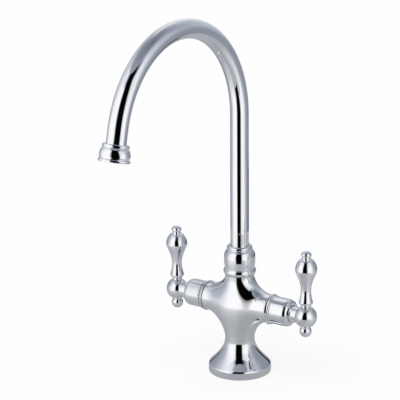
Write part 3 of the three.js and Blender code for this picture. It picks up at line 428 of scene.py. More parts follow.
def spun(
    outline: Outline, sides: int, start: float = 0.0, thread: Thread | None = None
) -> list[list[Spot]]:
    """Carries each point of an outline round the Z axis.

    Args:
        outline: Radius and height of each point.
        sides: How many points make a full turn; a point on the axis stays one.
        start: The first point's angle, in radians.
        thread: A screw thread to cut.

    Returns:
        A loop for each point of the outline.
    """
    loops = []
    for radius, height in outline:
        loop = []
        for i in range(sides if radius > TOUCHING else 1):
            turn = 2 * math.pi * i / sides
            r = thread.cut(radius, height, turn) if thread else radius
            loop.append((r * math.cos(start + turn), r * math.sin(start + turn), height))
        loops.append(loop)
    return loops


def turned(
    name: str,
    outline: Outline,
    place: Matrix = ORIGIN,
    sides: int = 96,
    thread: Thread | None = None,
) -> Mesh:
    """Turns an outline about the Z axis, as on a lathe.

    Args:
        name: The mesh's name.
        outline: Radius and height of each point; it closes where it ends on its own start.
        place: Where the piece goes.
        sides: How many faces make a full turn.
        thread: A screw thread to cut.

    Returns:
        The turned mesh.
    """
    closed = math.dist(outline[0], outline[-1]) < TOUCHING
    loops = spun(outline[:-1] if closed else outline, sides, thread=thread)
    return skinned(name, loops, place, closed)


def carved(mesh: Mesh, tool: Mesh, keep: Cut = Cut.OUTSIDE) -> Mesh:
    """Cuts a mesh with another.

    Args:
        mesh: The piece.
        tool: The cutting shape, which is used up.
        keep: Which part of the piece is kept.

    Returns:
        The cut mesh, under the piece's name.
    """
    name = mesh.name
    piece, cutter = stand("piece", mesh), stand("cutter", tool)
    step = piece.modifiers.new("cut", "BOOLEAN")
    step.operation, step.solver, step.object = keep.value, "EXACT", cutter
    seen = piece.evaluated_get(bpy.context.evaluated_depsgraph_get())
    result = bpy.data.meshes.new_from_object(seen)
    for thing in (piece, cutter):
        bpy.data.objects.remove(thing)
    for old in (mesh, tool):
        bpy.data.meshes.remove(old)
    result.name = name
    return soften(result)


def merged(name: str, meshes: Sequence[Mesh]) -> Mesh:
    """Puts several separate meshes into one.

    Args:
        name: The new mesh's name.
        meshes: The meshes, which are used up.

    Returns:
        The one mesh.
    """
    work = bmesh.new()
    for m in meshes:
        work.from_mesh(m)
        bpy.data.meshes.remove(m)
    mesh = bpy.data.meshes.new(name)
    work.to_mesh(mesh)
    work.free()
    return soften(mesh)


# ------------------------------------------------------------------ finishes


class Wiring:
    """A node tree while it is being wired up."""

    def __init__(self, tree: bpy.types.NodeTree) -> None:
        """Starts on an emptied tree."""
        tree.nodes.clear()
        self.tree = tree

    def node(self, kind: str, inputs: Inputs | None = None, **settings: object) -> bpy.types.Node:
        """Adds a node.

        Args:
            kind: The node's type, without its ShaderNode prefix.
            inputs: Input name or number to a value, or to the socket that feeds it.
            **settings: The node's own settings.

        Returns:
            The node.
        """
        node = self.tree.nodes.new("ShaderNode" + kind)
        for key, value in settings.items():
            setattr(node, key, value)
        for key, value in (inputs or {}).items():
            if isinstance(value, Socket):
                self.tree.links.new(value, node.inputs[key])
            else:
                node.inputs[key].default_value = value
        return node

    def object_space(self) -> Socket:
        """The point's place on the object, in metres."""
        return self.node("TexCoord").outputs["Object"]

    def maths(self, operation: str, *values: Socket | float) -> Socket:
        """Works out one sum."""
        return self.node("Math", dict(enumerate(values)), operation=operation).outputs[0]

    def spread(self, value: Socket, source: Point, target: Point = (0.0, 1.0)) -> Socket:
        """Maps one range of values to another, and holds it there."""
        inputs: Inputs = {0: value, 1: source[0], 2: source[1], 3: target[0], 4: target[1]}
        return self.node("MapRange", inputs).outputs["Result"]

    def ramp(self, share: Socket, stops: Sequence[tuple[float, Colour]]) -> Socket:
        """Paints a 0 to 1 pattern with a row of colours.

        Args:
            share: The pattern.
            stops: Place and colour of each stop, in order.

        Returns:
            The colour.
        """
        ramp = self.node("ValToRGB", {"Fac": share})
        elements = ramp.color_ramp.elements
        while len(elements) < len(stops):
            elements.new(0.5)
        for element, (place, _) in zip(elements, stops, strict=True):
            element.position = place
        for element, (_, colour) in zip(elements, stops, strict=True):
            element.color = colour
        return ramp.outputs["Color"]

    def tint(self, share: Socket, first: Colour, second: Colour) -> Socket:
        """Blends two colours by a soft pattern, over the middle of its range."""
        return self.ramp(share, ((0.3, first), (0.7, second)))

    def mixed(self, share: Socket, first: Socket, second: Socket) -> Socket:
        """Blends two colours by a share from 0 to 1."""
        inputs: Inputs = {"Factor": share, "A": first, "B": second}
        return self.node("Mix", inputs, data_type="RGBA").outputs["Result"]

    def blended(self, share: Socket, first: bpy.types.Node, second: bpy.types.Node) -> bpy.types.Node:
        """Blends two shaders by a share from 0 to 1."""
        return self.node("MixShader", {0: share, 1: first.outputs[0], 2: second.outputs[0]})


def fresh(title: str) -> tuple[bpy.types.Material, Wiring]:
    """Starts a material with an empty tree.

    Args:
        title: The material's name.

    Returns:
        The material and the wiring of its tree.
    """
    material = bpy.data.materials.new(title)
    material.use_nodes = True
    return material, Wiring(material.node_tree)


@dataclass(frozen=True)
class Grain:
    """A soft random pattern, in waves per metre, and the height of its relief in metres."""

    scale: float
    detail: float = 3.0
    depth: float = 0.0

    def share(self, w: Wiring, where: Socket) -> Socket:
        """Lays the pattern on a surface, from 0 to 1."""
        inputs: Inputs = {"Vector": where, "Scale": self.scale, "Detail": self.detail}
        return w.node("TexNoise", inputs).outputs["Fac"]


@dataclass(frozen=True)
class Streaks:
    """A random pattern drawn out into streaks, with its waves per metre along each axis."""

    waves: Spot
    detail: float = 4.0
    depth: float = 0.0

    def share(self, w: Wiring, where: Socket) -> Socket:
        """Lays the streaks on a surface, from 0 to 1."""
        long = w.node("Mapping", {"Vector": where, "Scale": self.waves}).outputs["Vector"]
        return Grain(1.0, self.detail).share(w, long)


@dataclass(frozen=True)
class LatheRings:
    """The fine rings that a lathe leaves across one axis."""

    axis: str
    scale: float = 900.0
    depth: float = 1.2e-5

    def share(self, w: Wiring, where: Socket) -> Socket:
        """Lays the rings on a surface, from 0 to 1."""
        inputs: Inputs = {"Vector": where, "Scale": self.scale, "Distortion": 1.5, "Detail": 2.0}
        return w.node("TexWave", inputs, wave_type="BANDS", bands_direction=self.axis).outputs["Fac"]


@dataclass(frozen=True)
class Finish:
    """What a piece is made of and how its surface is worked.

    A patchy pattern runs from the first to the second tint and from the smooth to the rough
    end, where wipe marks may soften it. The reliefs lie one on another, the lowest first.
    """

    title: str
    slot: str
    patches: Grain
    tints: tuple[Colour, Colour]
    roughness: Point
    reliefs: tuple[Grain | Streaks | LatheRings, ...]
    metallic: float = 1.0
    wipe_marks: Streaks | None = None
    waxiness: float = 0.0
    wax_reach: Spot = (0.002, 0.0018, 0.0015)

    def wire(self, w: Wiring) -> None:
        """Builds the finish's nodes.

        Args:
            w: The tree being wired.
        """
        spot = w.object_space()
        patches = worn = self.patches.share(w, spot)
        if self.wipe_marks:
            worn = w.maths("MULTIPLY", patches, self.wipe_marks.share(w, spot))
        inputs: Inputs = {
            "Base Color": w.tint(patches, *self.tints),
            "Metallic": self.metallic,
            "Roughness": w.spread(worn, (0.0, 1.0), self.roughness),
            "Subsurface Weight": self.waxiness,
            "Subsurface Radius": self.wax_reach,
        }
        for relief in self.reliefs:
            bump: Inputs = {"Height": relief.share(w, spot), "Distance": relief.depth}
            if "Normal" in inputs:
                bump["Normal"] = inputs["Normal"]
            inputs["Normal"] = w.node("Bump", bump).outputs["Normal"]
        shader = w.node("BsdfPrincipled", inputs)
        w.node("OutputMaterial", {"Surface": shader.outputs["BSDF"]})

    def material(self) -> bpy.types.Material:
        """Gives the finish as a material, made once and shared.

        Returns:
            The material.
        """
        found = bpy.data.materials.get(self.title)
        if found is None:
            found, w = fresh(self.title)
            self.wire(w)
        return found


# Mirror chrome plate, with the faint haze, wipe marks and waviness of buffed castings.
CHROME = Finish(
    "PolishedChrome", "chrome", Grain(38, 4),
    ((0.955, 0.96, 0.968, 1), (0.93, 0.938, 0.95, 1)), (0.012, 0.075),
    (Grain(95, 1, 9e-6), Grain(2600, 2, 2e-7)), wipe_marks=Streaks((260, 260, 30), 5),
)
# Bare brass straight from the lathe, dulled here and there: one upright, one lying along X.
BRASS, BRASS_LYING = (
    Finish(
        f"TurnedBrass{way}", "brass", Grain(130, 6),
        ((0.78, 0.56, 0.24, 1), (0.5, 0.34, 0.14, 1)), (0.24, 0.5),
        (Grain(1800, depth=4e-6), LatheRings(axis)),
    )
    for way, axis in (("Upright", "Z"), ("Lying", "X"))
)
# Drawn copper tube with lengthwise streaks and brown tarnish.
COPPER = Finish(
    "DrawnCopper", "copper", Grain(90, 7),
    ((0.86, 0.42, 0.27, 1), (0.42, 0.19, 0.11, 1)), (0.2, 0.48),
    (Streaks((900, 900, 12), depth=1e-5),),
)
# Pressed stainless steel, finely brushed.
STEEL = Finish(
    "StainlessSteel", "steel", Grain(70, 4),
    ((0.66, 0.67, 0.69, 1), (0.54, 0.55, 0.57, 1)), (0.22, 0.4),
    (Streaks((2200, 60, 60), depth=8e-6),),
)
# Matt black moulded rubber with a dusty bloom.
RUBBER = Finish(
    "SealRubber", "rubber", Grain(160, 6),
    ((0.016, 0.016, 0.017, 1), (0.045, 0.045, 0.046, 1)), (0.55, 0.85),
    (Grain(3200, depth=2.5e-5),), metallic=0.0,
)
# White ceramic, ground flat and lapped to a satin face.
CERAMIC = Finish(
    "LappedCeramic", "ceramic", Grain(300, 5),
    ((0.82, 0.8, 0.74, 1), (0.76, 0.73, 0.66, 1)), (0.18, 0.34),
    (Grain(5200, depth=3e-6),), metallic=0.0,
)
# Off-white moulded plastic with a waxy sheen.
ACETAL = Finish(
    "MouldedAcetal", "acetal", Grain(210),
    ((0.8, 0.79, 0.75, 1), (0.72, 0.71, 0.67, 1)), (0.32, 0.5),
    (Grain(2400, depth=5e-6),), metallic=0.0, waxiness=0.12,
)


# ------------------------------------------------------------------ placing


@dataclass(frozen=True)
class Workshop:
    """Puts finished pieces on the frame's bodies."""

    nodes: dict[str, bpy.types.Object]

    def fit(self, name: str, mesh: Mesh, finish: Finish, body: Body, *stands_for: str) -> None:
        """Shows a new piece in place of CAD nodes.

        Args:
            name: The piece's name.
            mesh: Its mesh, in place.
            finish: What it is finished with.
            body: The body that it moves with.
            *stands_for: The nodes that it replaces.
        """
        piece = stand(name, mesh)
        mesh.materials.clear()
        mesh.materials.append(finish.material())
        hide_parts(*stands_for)
        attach(piece, body.value)
        LOG.info("%s: %d faces in %s, on %s", name, len(mesh.polygons), finish.title, body.value)

    def dress(self, node: str, finish: Finish) -> None:
        """Keeps a CAD node's shape and gives it a finish.

        Args:
            node: The node's name.
            finish: What it is finished with.
        """
        shown = self.nodes[node]
        shown.data.materials.clear()
        shown.data.materials.append(finish.material())
        LOG.info("%s: CAD shape in %s", node, finish.title)


# ------------------------------------------------------------------ the cast body


@dataclass(frozen=True)
class Fillet:
    """One level of the body's fillets: they leave the column at a height, into both arms."""

    height: float
    radius: float
    run: float
    rise: float
    power: float
    front: float


def ease(share: float) -> float:
    """Runs smoothly from 0 to 1 with level ends."""
    return share * share * (3 - 2 * share)


@dataclass(frozen=True)
class CastBody:
    """The cast body: a flared foot and a column that spreads into two beaded arms."""

    foot_radius: float = 31.05
    rim_height: float = 6.15
    shoulder: Point = (1.64, 2.65)  # half width and half height of its oval
    shoulder_turn: float = 43.3
    swell_start: float = 6.6
    swell_end: float = 11.6
    waist_radius: float = 14.6
    waist_height: float = 33.9
    neck_radius: float = 14.45
    neck_height: float = 100.2
    neck_shoulder: float = 0.6
    arm_radius: float = 14.1
    arm_root: float = 34.15
    bead_slot: Spot = (12.7, 36.1, 36.85)  # radius of its floor, start, end
    bead_crest: float = 15.05
    bead_end: Point = (13.7, 39.95)  # radius, place along the arm
    arm_end: float = 40.3
    fillet_powers: Point = (1.74, 1.8)  # lower, upper
    front_powers: Point = (1.85, 2.1)  # lower, upper
    front_depth: float = 22.5
    spigot_radius: float = 12.0
    spigot_top: float = 113.7
    spout_bore: Point = (9.5, 91.5)  # radius, floor
    chamber: Point = (7.0, 76.5)  # radius, floor
    cartridge_bore: Point = (10.6, 22.0)  # radius, seat
    shank_socket: Point = (16.3, 12.0)  # radius, ceiling
    gasket_groove: Spot = (22.0, 28.0, 2.0)  # inner radius, outer radius, depth
    quarter: int = 28  # faces of a quarter turn
    column_steps: int = 20
    arm_steps: int = 24
    halvings: int = 30  # of the span in which the body's depth is sought

    @property
    def levels(self) -> tuple[Fillet, Fillet]:
        """The lower and the upper fillets.

        Returns:
            The two levels, the waist's first.
        """
        heights = (self.waist_height, self.neck_height)
        radii = (self.waist_radius, self.neck_radius)
        sizes = zip(heights, radii, self.fillet_powers, self.front_powers, strict=True)
        low, high = (
            Fillet(height, radius, self.arm_root - radius,
                   abs(height - ARM_HEIGHT) - self.arm_radius, power, front)
            for height, radius, power, front in sizes
        )
        return low, high

    def depth(self, x: float, z: float) -> float:
        """Gives half the body's depth at a point of its front view.

        Args:
            x: The point's place across the body.
            z: The point's height.

        Returns:
            The depth: a round column and round arms run into each other, as softly as the
            fillets' edges do at the sides and more crisply in front.
        """
        low, high = self.levels
        up = z - ARM_HEIGHT
        share = ease(max(0.0, min(1.0, (1 + up / self.arm_radius) / 2)))
        sizes = ((fillet.radius, fillet.rise, fillet.power, fillet.front) for fillet in (low, high))
        column, rise, sides, front = (a + (b - a) * share for a, b in zip(*sizes, strict=True))
        inside, outside = 0.0, 2 * self.arm_radius
        for _ in range(self.halvings):
            y = (inside + outside) / 2
            from_column = 1 - (math.hypot(x, y) - column) / (self.arm_root - column)
            from_arm = 1 - (math.hypot(up, y) - self.arm_radius) / rise
            power = sides + (front - sides) * ease(min(1.0, y / self.front_depth))
            if max(0.0, from_column) ** power + max(0.0, from_arm) ** power > 1:
                inside = y
            else:
                outside = y
        return inside

    def blend_point(self, side: int, level: Fillet, face: int, start: Point, step: int) -> Spot:
        """Finds a point of the blended cross.

        Args:
            side: -1 for the left half, 1 for the right.
            level: The fillet that this quarter runs to.
            face: -1 for the front, 1 for the back.
            start: Where the section crosses the axes, as x and z.
            step: The point's number along the section.

        Returns:
            The point.
        """
        turn = step / self.quarter * math.pi / 2
        dx, dz = self.arm_root - start[0], level.height - start[1]
        along = abs(dx / level.run) ** level.power + abs(dz / level.rise) ** level.power
        reach = (1 - along ** (-1 / level.power)) * math.sin(turn)
        x, z = start[0] + dx * reach, start[1] + dz * reach
        depth = 0.0 if step == self.quarter else self.depth(x, z)
        return side * x, face * depth, z

    def cross(self) -> tuple[list[Sequence[float]], list[Face]]:
        """Makes the blended middle, from the waist to the neck and out to the arms.

        Returns:
            Its points and faces.
        """
        coords: list[Sequence[float]] = []
        faces: list[Face] = []
        width = self.quarter + 1
        for level, side, face in product(self.levels, (-1, 1), (-1, 1)):
            heights = np.linspace(level.height, ARM_HEIGHT, self.column_steps + 1)[:-1]
            stations = np.linspace(0, self.arm_root, self.arm_steps + 1)
            starts = plain([(0.0, z) for z in heights] + [(x, ARM_HEIGHT) for x in stations])
            first = len(coords)
            for start, step in product(starts, range(width)):
                coords.append(self.blend_point(side, level, face, start, step))
            for row, step in product(range(len(starts) - 1), range(self.quarter)):
                low = first + row * width + step
                faces.append((low, low + 1, low + width + 1, low + width))
        return coords, faces

    def foot_outline(self) -> Outline:
        """Draws the foot from the shank's socket, under the rim and up to the waist.

        Returns:
            The outline, from the axis to the waist.
        """
        socket, ceiling = self.shank_socket
        inner, outer, deep = self.gasket_groove
        wide, tall = self.shoulder
        slope = math.radians(self.shoulder_turn)
        turn = math.atan2(tall * math.sin(slope), wide * math.cos(slope))
        under = [(0.0, ceiling), (socket, ceiling), (socket, 0.0), (inner, 0.0), (inner, deep)]
        under += [(outer, deep), (outer, 0.0), (self.foot_radius, 0.0)]
        under += [(self.foot_radius, self.rim_height)]
        centre = (self.foot_radius - wide, self.rim_height)
        shoulder = oval(centre, self.shoulder, 0, math.degrees(turn), steps=10)
        edge, top = shoulder[-1]
        swell = flare(
            (edge, top),
            (edge - self.swell_start * math.sin(slope), top + self.swell_start * math.cos(slope)),
            (self.waist_radius, self.waist_height - self.swell_end),
            (self.waist_radius, self.waist_height),
            steps=44,
        )
        return eased(under, radius=0.5) + shoulder[1:-1] + swell

    def neck_outline(self) -> Outline:
        """Draws the neck's shoulder, the spigot and the bores down its middle.

        Returns:
            The outline, from the neck to the axis.
        """
        shoulder = self.neck_height + self.neck_shoulder
        spigot, top = self.spigot_radius, self.spigot_top
        bore, floor = self.spout_bore
        narrow, chamber_floor = self.chamber
        corners = [(self.neck_radius, self.neck_height), (self.neck_radius, shoulder)]
        corners += [(spigot, shoulder), (spigot, top), (bore, top), (bore, floor)]
        corners += [(narrow, floor), (narrow, chamber_floor), (0.0, chamber_floor)]
        return eased(corners, radius=0.3)

    def arm_outline(self) -> Outline:
        """Draws an arm's end along its axis: the slot, the bead, the end face and the bore.

        Returns:
            The outline, from the arm's root to the axis.
        """
        bore, seat = self.cartridge_bore
        deep, near, face = self.bead_slot
        crest, (edge, end) = self.bead_crest, self.bead_end
        root = [(self.arm_radius, near), (deep, near), (deep, face)]
        slope = ((crest + 0.25, face + 0.45), (edge + 1.35, end - 1.35))
        ring = flare((crest, face), *slope, (edge, end), steps=20)
        rest = [(edge - 0.1, self.arm_end), (bore, self.arm_end), (bore, seat), (0.0, seat)]
        return eased([(self.arm_radius, self.arm_root), *root, *ring, *rest], radius=0.15)

    def mesh(self) -> Mesh:
        """Makes the whole body as one closed skin.

        Returns:
            The mesh; the turned ends start in front, so that their points meet the cross's.
        """
        coords, faces = self.cross()
        ends = [(self.foot_outline(), ORIGIN), (self.neck_outline(), ORIGIN)]
        ends += [(self.arm_outline(), side.arm) for side in Side]
        for outline, carry in ends:
            loops = spun(outline, 4 * self.quarter, start=-math.pi / 2)
            spots, bands = banded(loops, first=len(coords))
            coords += [carry @ Vector(spot) for spot in spots]
            faces += bands
        return made("cast_body", coords, faces)

    def build(self, shop: Workshop) -> None:
        """Shows the body in chrome."""
        shop.fit("chromed_body", self.mesh(), CHROME, Body.FIXED, "faucet_body")


# ------------------------------------------------------------------ spout connection


@dataclass(frozen=True)
class SpoutNut:
    """The round nut that holds the spout on the neck, and what turns inside it."""

    bottom: float = 101.1
    inner: float = 12.3
    hole: float = 9.3
    shoulder: float = 119.0
    lip_radius: float = 14.3
    bead_start: float = 101.4
    bead_end: float = 107.3
    bead_rise: float = 1.3
    waist_radius: float = 14.6
    belly_radius: float = 15.4
    belly: float = 118.3
    crown_radius: float = 11.9
    crown: float = 126.3
    ring_top: float = 129.9
    ring_rise: float = 0.8
    top_radius: float = 11.5
    edge: float = 0.5
    pull: float = 5.0
    dome_inset: float = 1.0

    def outline(self) -> Outline:
        """Draws the nut's section.

        Returns:
            The closed outline.
        """
        wide, edge, top = self.belly_radius, self.edge, self.ring_top + self.edge
        foot = (self.lip_radius + edge, self.bead_start)
        sides = bead(foot, (self.waist_radius, self.bead_end), self.bead_rise)
        swell = flare(
            (self.waist_radius, self.bead_end + edge),
            (wide - 0.2, self.bead_end + self.pull),
            (wide, self.belly - self.pull),
            (wide, self.belly),
            steps=16,
        )
        centre = (self.crown_radius - self.dome_inset, self.belly)
        dome = oval(centre, (wide - centre[0], self.crown - self.belly), 4, 76, steps=22)
        ring = bead((self.crown_radius, self.crown), (self.top_radius, self.ring_top), self.ring_rise)
        section = [(self.inner, self.bottom), (self.lip_radius, self.bottom), *sides, *swell]
        section += [*dome, *ring, (self.top_radius - edge, top), (self.hole, top)]
        section += [(self.hole, self.shoulder), (self.inner, self.shoulder)]
        return eased([*section, section[0]], radius=0.18)

    def build(self, shop: Workshop) -> None:
        """Shows the nut, and finishes the pieces hidden inside it.

        Args:
            shop: Where pieces are fitted.
        """
        nut = turned("spout_nut", self.outline(), sides=128)
        shop.fit("round_spout_nut", nut, CHROME, Body.FIXED, "spout_nut")
        shop.dress("spout_foot", BRASS)
        shop.dress("spout_bearing_washer", ACETAL)
        for row in ("lower", "upper"):
            shop.dress(f"spout_seal_{row}", RUBBER)


# ------------------------------------------------------------------ spout


@dataclass(frozen=True)
class Gooseneck:
    """The bent spout tube."""

    radius: float = 9.0
    bore: float = 7.8
    edge: float = 0.25
    bottom: float = 117.3
    arch_radius: float = 95.7
    arch_height: float = 260.8
    arch_angle: float = 166.5
    straight_end: float = 11.9
    in_tip: float = 6.2
    sides: int = 72

    def at(self, turn: float, beyond: float = 0.0) -> Vector:
        """Finds a point of the centre line.

        Args:
            turn: Angle along the arch, in radians.
            beyond: How far past it along the straight end.

        Returns:
            The point.
        """
        arc = Vector((0, math.cos(turn) - 1, math.sin(turn))) * self.arch_radius
        return arc + Z_WAY * self.arch_height + self.heading(turn) * beyond

    def heading(self, turn: float) -> Vector:
        """The tube's direction at an angle along the arch."""
        return Vector((0, -math.sin(turn), math.cos(turn)))

    @property
    def tip(self) -> Matrix:
        """Carries a piece made with the flow towards -Z to the tube's end.

        Returns:
            The carrying matrix.
        """
        turn = math.radians(self.arch_angle)
        place = Matrix.Translation(self.at(turn, self.straight_end))
        return place @ Matrix.Rotation(turn - math.pi, 4, "X")

    def stations(self) -> list[tuple[Vector, float]]:
        """Lists the centre line's points.

        Returns:
            The points, each with its angle along the arch.
        """
        turn = math.radians(self.arch_angle)
        rise = [(Z_WAY * float(z), 0.0) for z in np.linspace(self.bottom, self.arch_height, 9)]
        arch = [(self.at(t), float(t)) for t in np.linspace(0, turn, 121)[1:]]
        length = self.straight_end + self.in_tip
        end = [(self.at(turn, b), turn) for b in np.linspace(0, length, 4)[1:]]
        return rise + arch + end

    def mesh(self) -> Mesh:
        """Bends the tube, open at both ends and hollow.

        Returns:
            The mesh.
        """
        line = self.stations()
        (foot, start), (tip, end) = line[0], line[-1]
        lip = self.radius - self.edge
        skin = [(foot, start, lip), (foot + self.heading(start) * self.edge, start, self.radius)]
        skin += [(spot, turn, self.radius) for spot, turn in line[1:-1]]
        skin += [(tip - self.heading(end) * self.edge, end, self.radius), (tip, end, lip)]
        skin += [(spot, turn, self.bore) for spot, turn in reversed(line)]
        loops = []
        for spot, turn, radius in skin:
            outward = Vector((0, math.cos(turn), math.sin(turn)))
            loops.append(circle(spot, X_WAY, outward, radius, self.sides))
        return skinned("gooseneck", loops, closed=True)

    def build(self, shop: Workshop) -> None:
        """Shows the tube in chrome."""
        shop.fit("bent_spout_tube", self.mesh(), CHROME, Body.SPOUT, "spout_tube")


@dataclass(frozen=True)
class SpoutTip:
    """The bell on the spout's end and the aerator in it, made with the flow towards -Z."""

    place: Matrix
    hole: float = 9.3
    ring_radius: float = 11.4
    ring_width: float = 2.6
    ring_rise: float = 0.7
    bell_radius: float = 13.7
    length: float = 15.5
    flange_radius: float = 13.5
    flange_width: float = 2.7
    flange_rise: float = 0.75
    cavity: float = 11.9
    socket: float = 6.5
    shell_radius: float = 11.6
    shell_top: float = -8.3
    shell_bottom: float = -15.2
    coin_slot: Point = (1.1, 0.55)  # half width, depth
    insert_radius: float = 9.8
    lip: float = 0.9
    # Each ring of drilled holes: how many, how far out, and the hole's radius.
    drill_rings: tuple[tuple[int, float, float], ...] = (
        (6, 3.0, 0.8), (12, 5.7, 0.8), (16, 8.1, 0.7),
    )
    washer_top: float = -6.8
    washer_width: float = 3.3
    washer: float = 1.2
    screen_bottom: float = -14.0
    screen: float = 0.6
    screen_rim: float = 0.9
    wire_reach: float = 9.1
    wire_pitch: float = 1.15
    wire_radius: float = 0.14

    def bell(self) -> Mesh:
        """Turns the bell.

        Returns:
            The mesh.
        """
        top, flange, bottom = -self.ring_width - 0.5, self.flange_width - self.length, -self.length
        wide, hole, socket = self.bell_radius, self.hole, -self.socket
        dome = [(self.ring_radius + 0.25, top), (wide - 0.75, top - 2.2), (wide, top - 5)]
        dome += [(wide - 0.2, flange + 2), (wide - 0.8, flange + 0.5)]
        ring = bead((self.ring_radius, 0), (self.ring_radius, -self.ring_width), self.ring_rise)
        low = bead((self.flange_radius, flange), (self.flange_radius, bottom), self.flange_rise)
        section = [(hole, -1.0), (hole, 0.0), *ring, *through(dome, steps=36), *low]
        section += [(self.cavity, bottom), (self.cavity, socket), (hole, socket), (hole, -1.0)]
        return turned("spout_bell", eased(section, radius=0.15), self.place, sides=128)

    def aerator(self) -> Mesh:
        """Turns the aerator's shell, with crossed coin slots in its lower rim.

        Returns:
            The mesh.
        """
        bore, mouth = self.insert_radius + GAP, self.insert_radius - self.lip
        top, bottom, rim = self.shell_top, self.shell_bottom, self.shell_bottom + self.lip
        section = [(bore, top), (bore, rim), (mouth, rim), (mouth, bottom)]
        section += [(self.shell_radius, bottom), (self.shell_radius, top), (bore, top)]
        shell = turned("aerator_shell", eased(section, radius=0.15), self.place)
        half, deep = self.coin_slot
        long = self.shell_radius + 1.4
        ends = ((-long, -half), (long, -half), (long, half), (-long, half))
        for turn in (0.0, math.pi / 2):
            slot = [[(x, y, z) for x, y in ends] for z in (bottom - 1, bottom + deep)]
            across = self.place @ Matrix.Rotation(turn, 4, "Z")
            shell = carved(shell, skinned("slot", slot, across, capped=True))
        return shell

    def insert(self) -> Mesh:
        """Makes the plastic insert, drilled with three rings of holes.

        Returns:
            The mesh.
        """
        bottom, top = self.screen_bottom + self.screen + GAP, self.shell_top
        plate = eased(rod(self.insert_radius, bottom, top), radius=0.2)
        body = turned("aerator_insert", plate, self.place, sides=72)
        drills = []
        for count, reach, radius in self.drill_rings:
            for hole in circle(Vector(), X_WAY, Y_WAY, reach, count):
                place = self.place @ Matrix.Translation(hole)
                drill = rod(radius, bottom - 1, top + 1)
                drills.append(turned("drill", drill, place, sides=12))
        return carved(body, merged("drills", drills))

    def wires(self, along: Vector, aside: Vector, weave: int) -> list[Mesh]:
        """Makes the screen's wires that run one way.

        Args:
            along: The way they run.
            aside: The way from wire to wire.
            weave: 0 or 1, so that the two ways pass over each other in turn.

        Returns:
            A mesh for each wire.
        """
        middle = self.screen_bottom + self.screen / 2
        rows = int(self.wire_reach / self.wire_pitch)
        meshes = []
        for row in range(-rows, rows + 1):
            off = row * self.wire_pitch
            half = math.sqrt(self.wire_reach**2 - off**2)
            rise = self.wire_radius * (-1) ** (row + weave)
            loops = []
            for s in np.linspace(-half, half, max(8, int(half * 5)) + 1):
                height = middle + rise * math.cos(math.pi * s / self.wire_pitch)
                centre = along * float(s) + aside * off + Z_WAY * height
                loops.append(circle(centre, aside, Z_WAY, self.wire_radius, sides=6))
            meshes.append(skinned("wire", loops, self.place, capped=True))
        return meshes

    def gauze(self) -> Mesh:
        """Weaves the wire screen inside its rim.

        Returns:
            The mesh.
        """
        low, radius = self.screen_bottom, self.insert_radius
        rim = eased(collar(radius - self.screen_rim, radius, low, low + self.screen), radius=0.15)
        wires = self.wires(X_WAY, Y_WAY, 0) + self.wires(Y_WAY, X_WAY, 1)
        return merged("aerator_gauze", [turned("rim", rim, self.place, sides=72), *wires])

    def build(self, shop: Workshop) -> None:
        """Shows the bell and everything in it.

        Args:
            shop: Where pieces are fitted.
        """
        bore, low = self.shell_radius - self.washer_width, self.washer_top - self.washer
        washer = eased(collar(bore, self.shell_radius, low, self.washer_top), radius=0.25)
        for name, mesh, finish, node in (
            ("spout_bell", self.bell(), CHROME, "spout_end_bell"),
            ("slotted_aerator_shell", self.aerator(), CHROME, "aerator_shell"),
            ("drilled_insert", self.insert(), ACETAL, "aerator_insert"),
            ("woven_screen", self.gauze(), STEEL, "aerator_screen"),
            ("flat_aerator_washer", turned("washer", washer, self.place), RUBBER, "aerator_washer"),
        ):
            shop.fit(name, mesh, finish, Body.SPOUT, node)


# ------------------------------------------------------------------ valves


@dataclass(frozen=True)
class Valve:
    """A bonnet sleeve and the ceramic cartridge under it, made along the arm's axis."""

    side: Side
    start: float = 40.6
    radius: float = 13.5
    flange_radius: float = 13.75
    flange_width: float = 1.6
    flange_rise: float = 0.2
    dome_start: float = 55.0
    end: float = 60.5
    nose_radius: float = 10.6
    mouth: float = 8.1
    thread: float = 9.3
    throat: float = 59.5
    hex_room: float = 12.0
    hex_end: float = 44.8

    def sleeve(self) -> Mesh:
        """Turns the bonnet sleeve.

        Returns:
            The mesh.
        """
        flange, room, thread = self.start + self.flange_width, self.hex_room, self.thread
        wide, flange_radius = self.radius, self.flange_radius
        pulls = ((wide - 0.15, self.dome_start + 2.2), (wide - 0.8, self.end - 1.0))
        dome = flare((wide, self.dome_start), *pulls, (self.nose_radius, self.end), steps=26)
        lip = bead((flange_radius, self.start), (flange_radius, flange), self.flange_rise, steps=8)
        section = [(room, self.start + 1), (room, self.start), *lip, (wide, flange + 0.25), *dome]
        section += [(self.mouth, self.end), (self.mouth, self.throat), (thread, self.throat - 1.2)]
        section += [(thread, self.hex_end), (room, self.hex_end), section[0]]
        return turned("sleeve", eased(section, radius=0.16), self.side.arm, sides=128)

    def build(self, shop: Workshop) -> None:
        """Shows the sleeve, and finishes the cartridge's hidden pieces.

        Args:
            shop: Where pieces are fitted.
        """
        label = self.side.label
        shop.fit(f"{label}_sleeve", self.sleeve(), CHROME, Body.FIXED, f"{label}_bonnet_sleeve")
        for finish, pieces in (
            (BRASS_LYING, ("cartridge_housing", "valve_stem")),
            (RUBBER, ("cartridge_seal", "seat_seal")),
            (CERAMIC, ("fixed_disc", "moving_disc")),
            (STEEL, ("stem_circlip",)),
        ):
            for piece in pieces:
                shop.dress(f"{label}_{piece}", finish)


# ------------------------------------------------------------------ handles


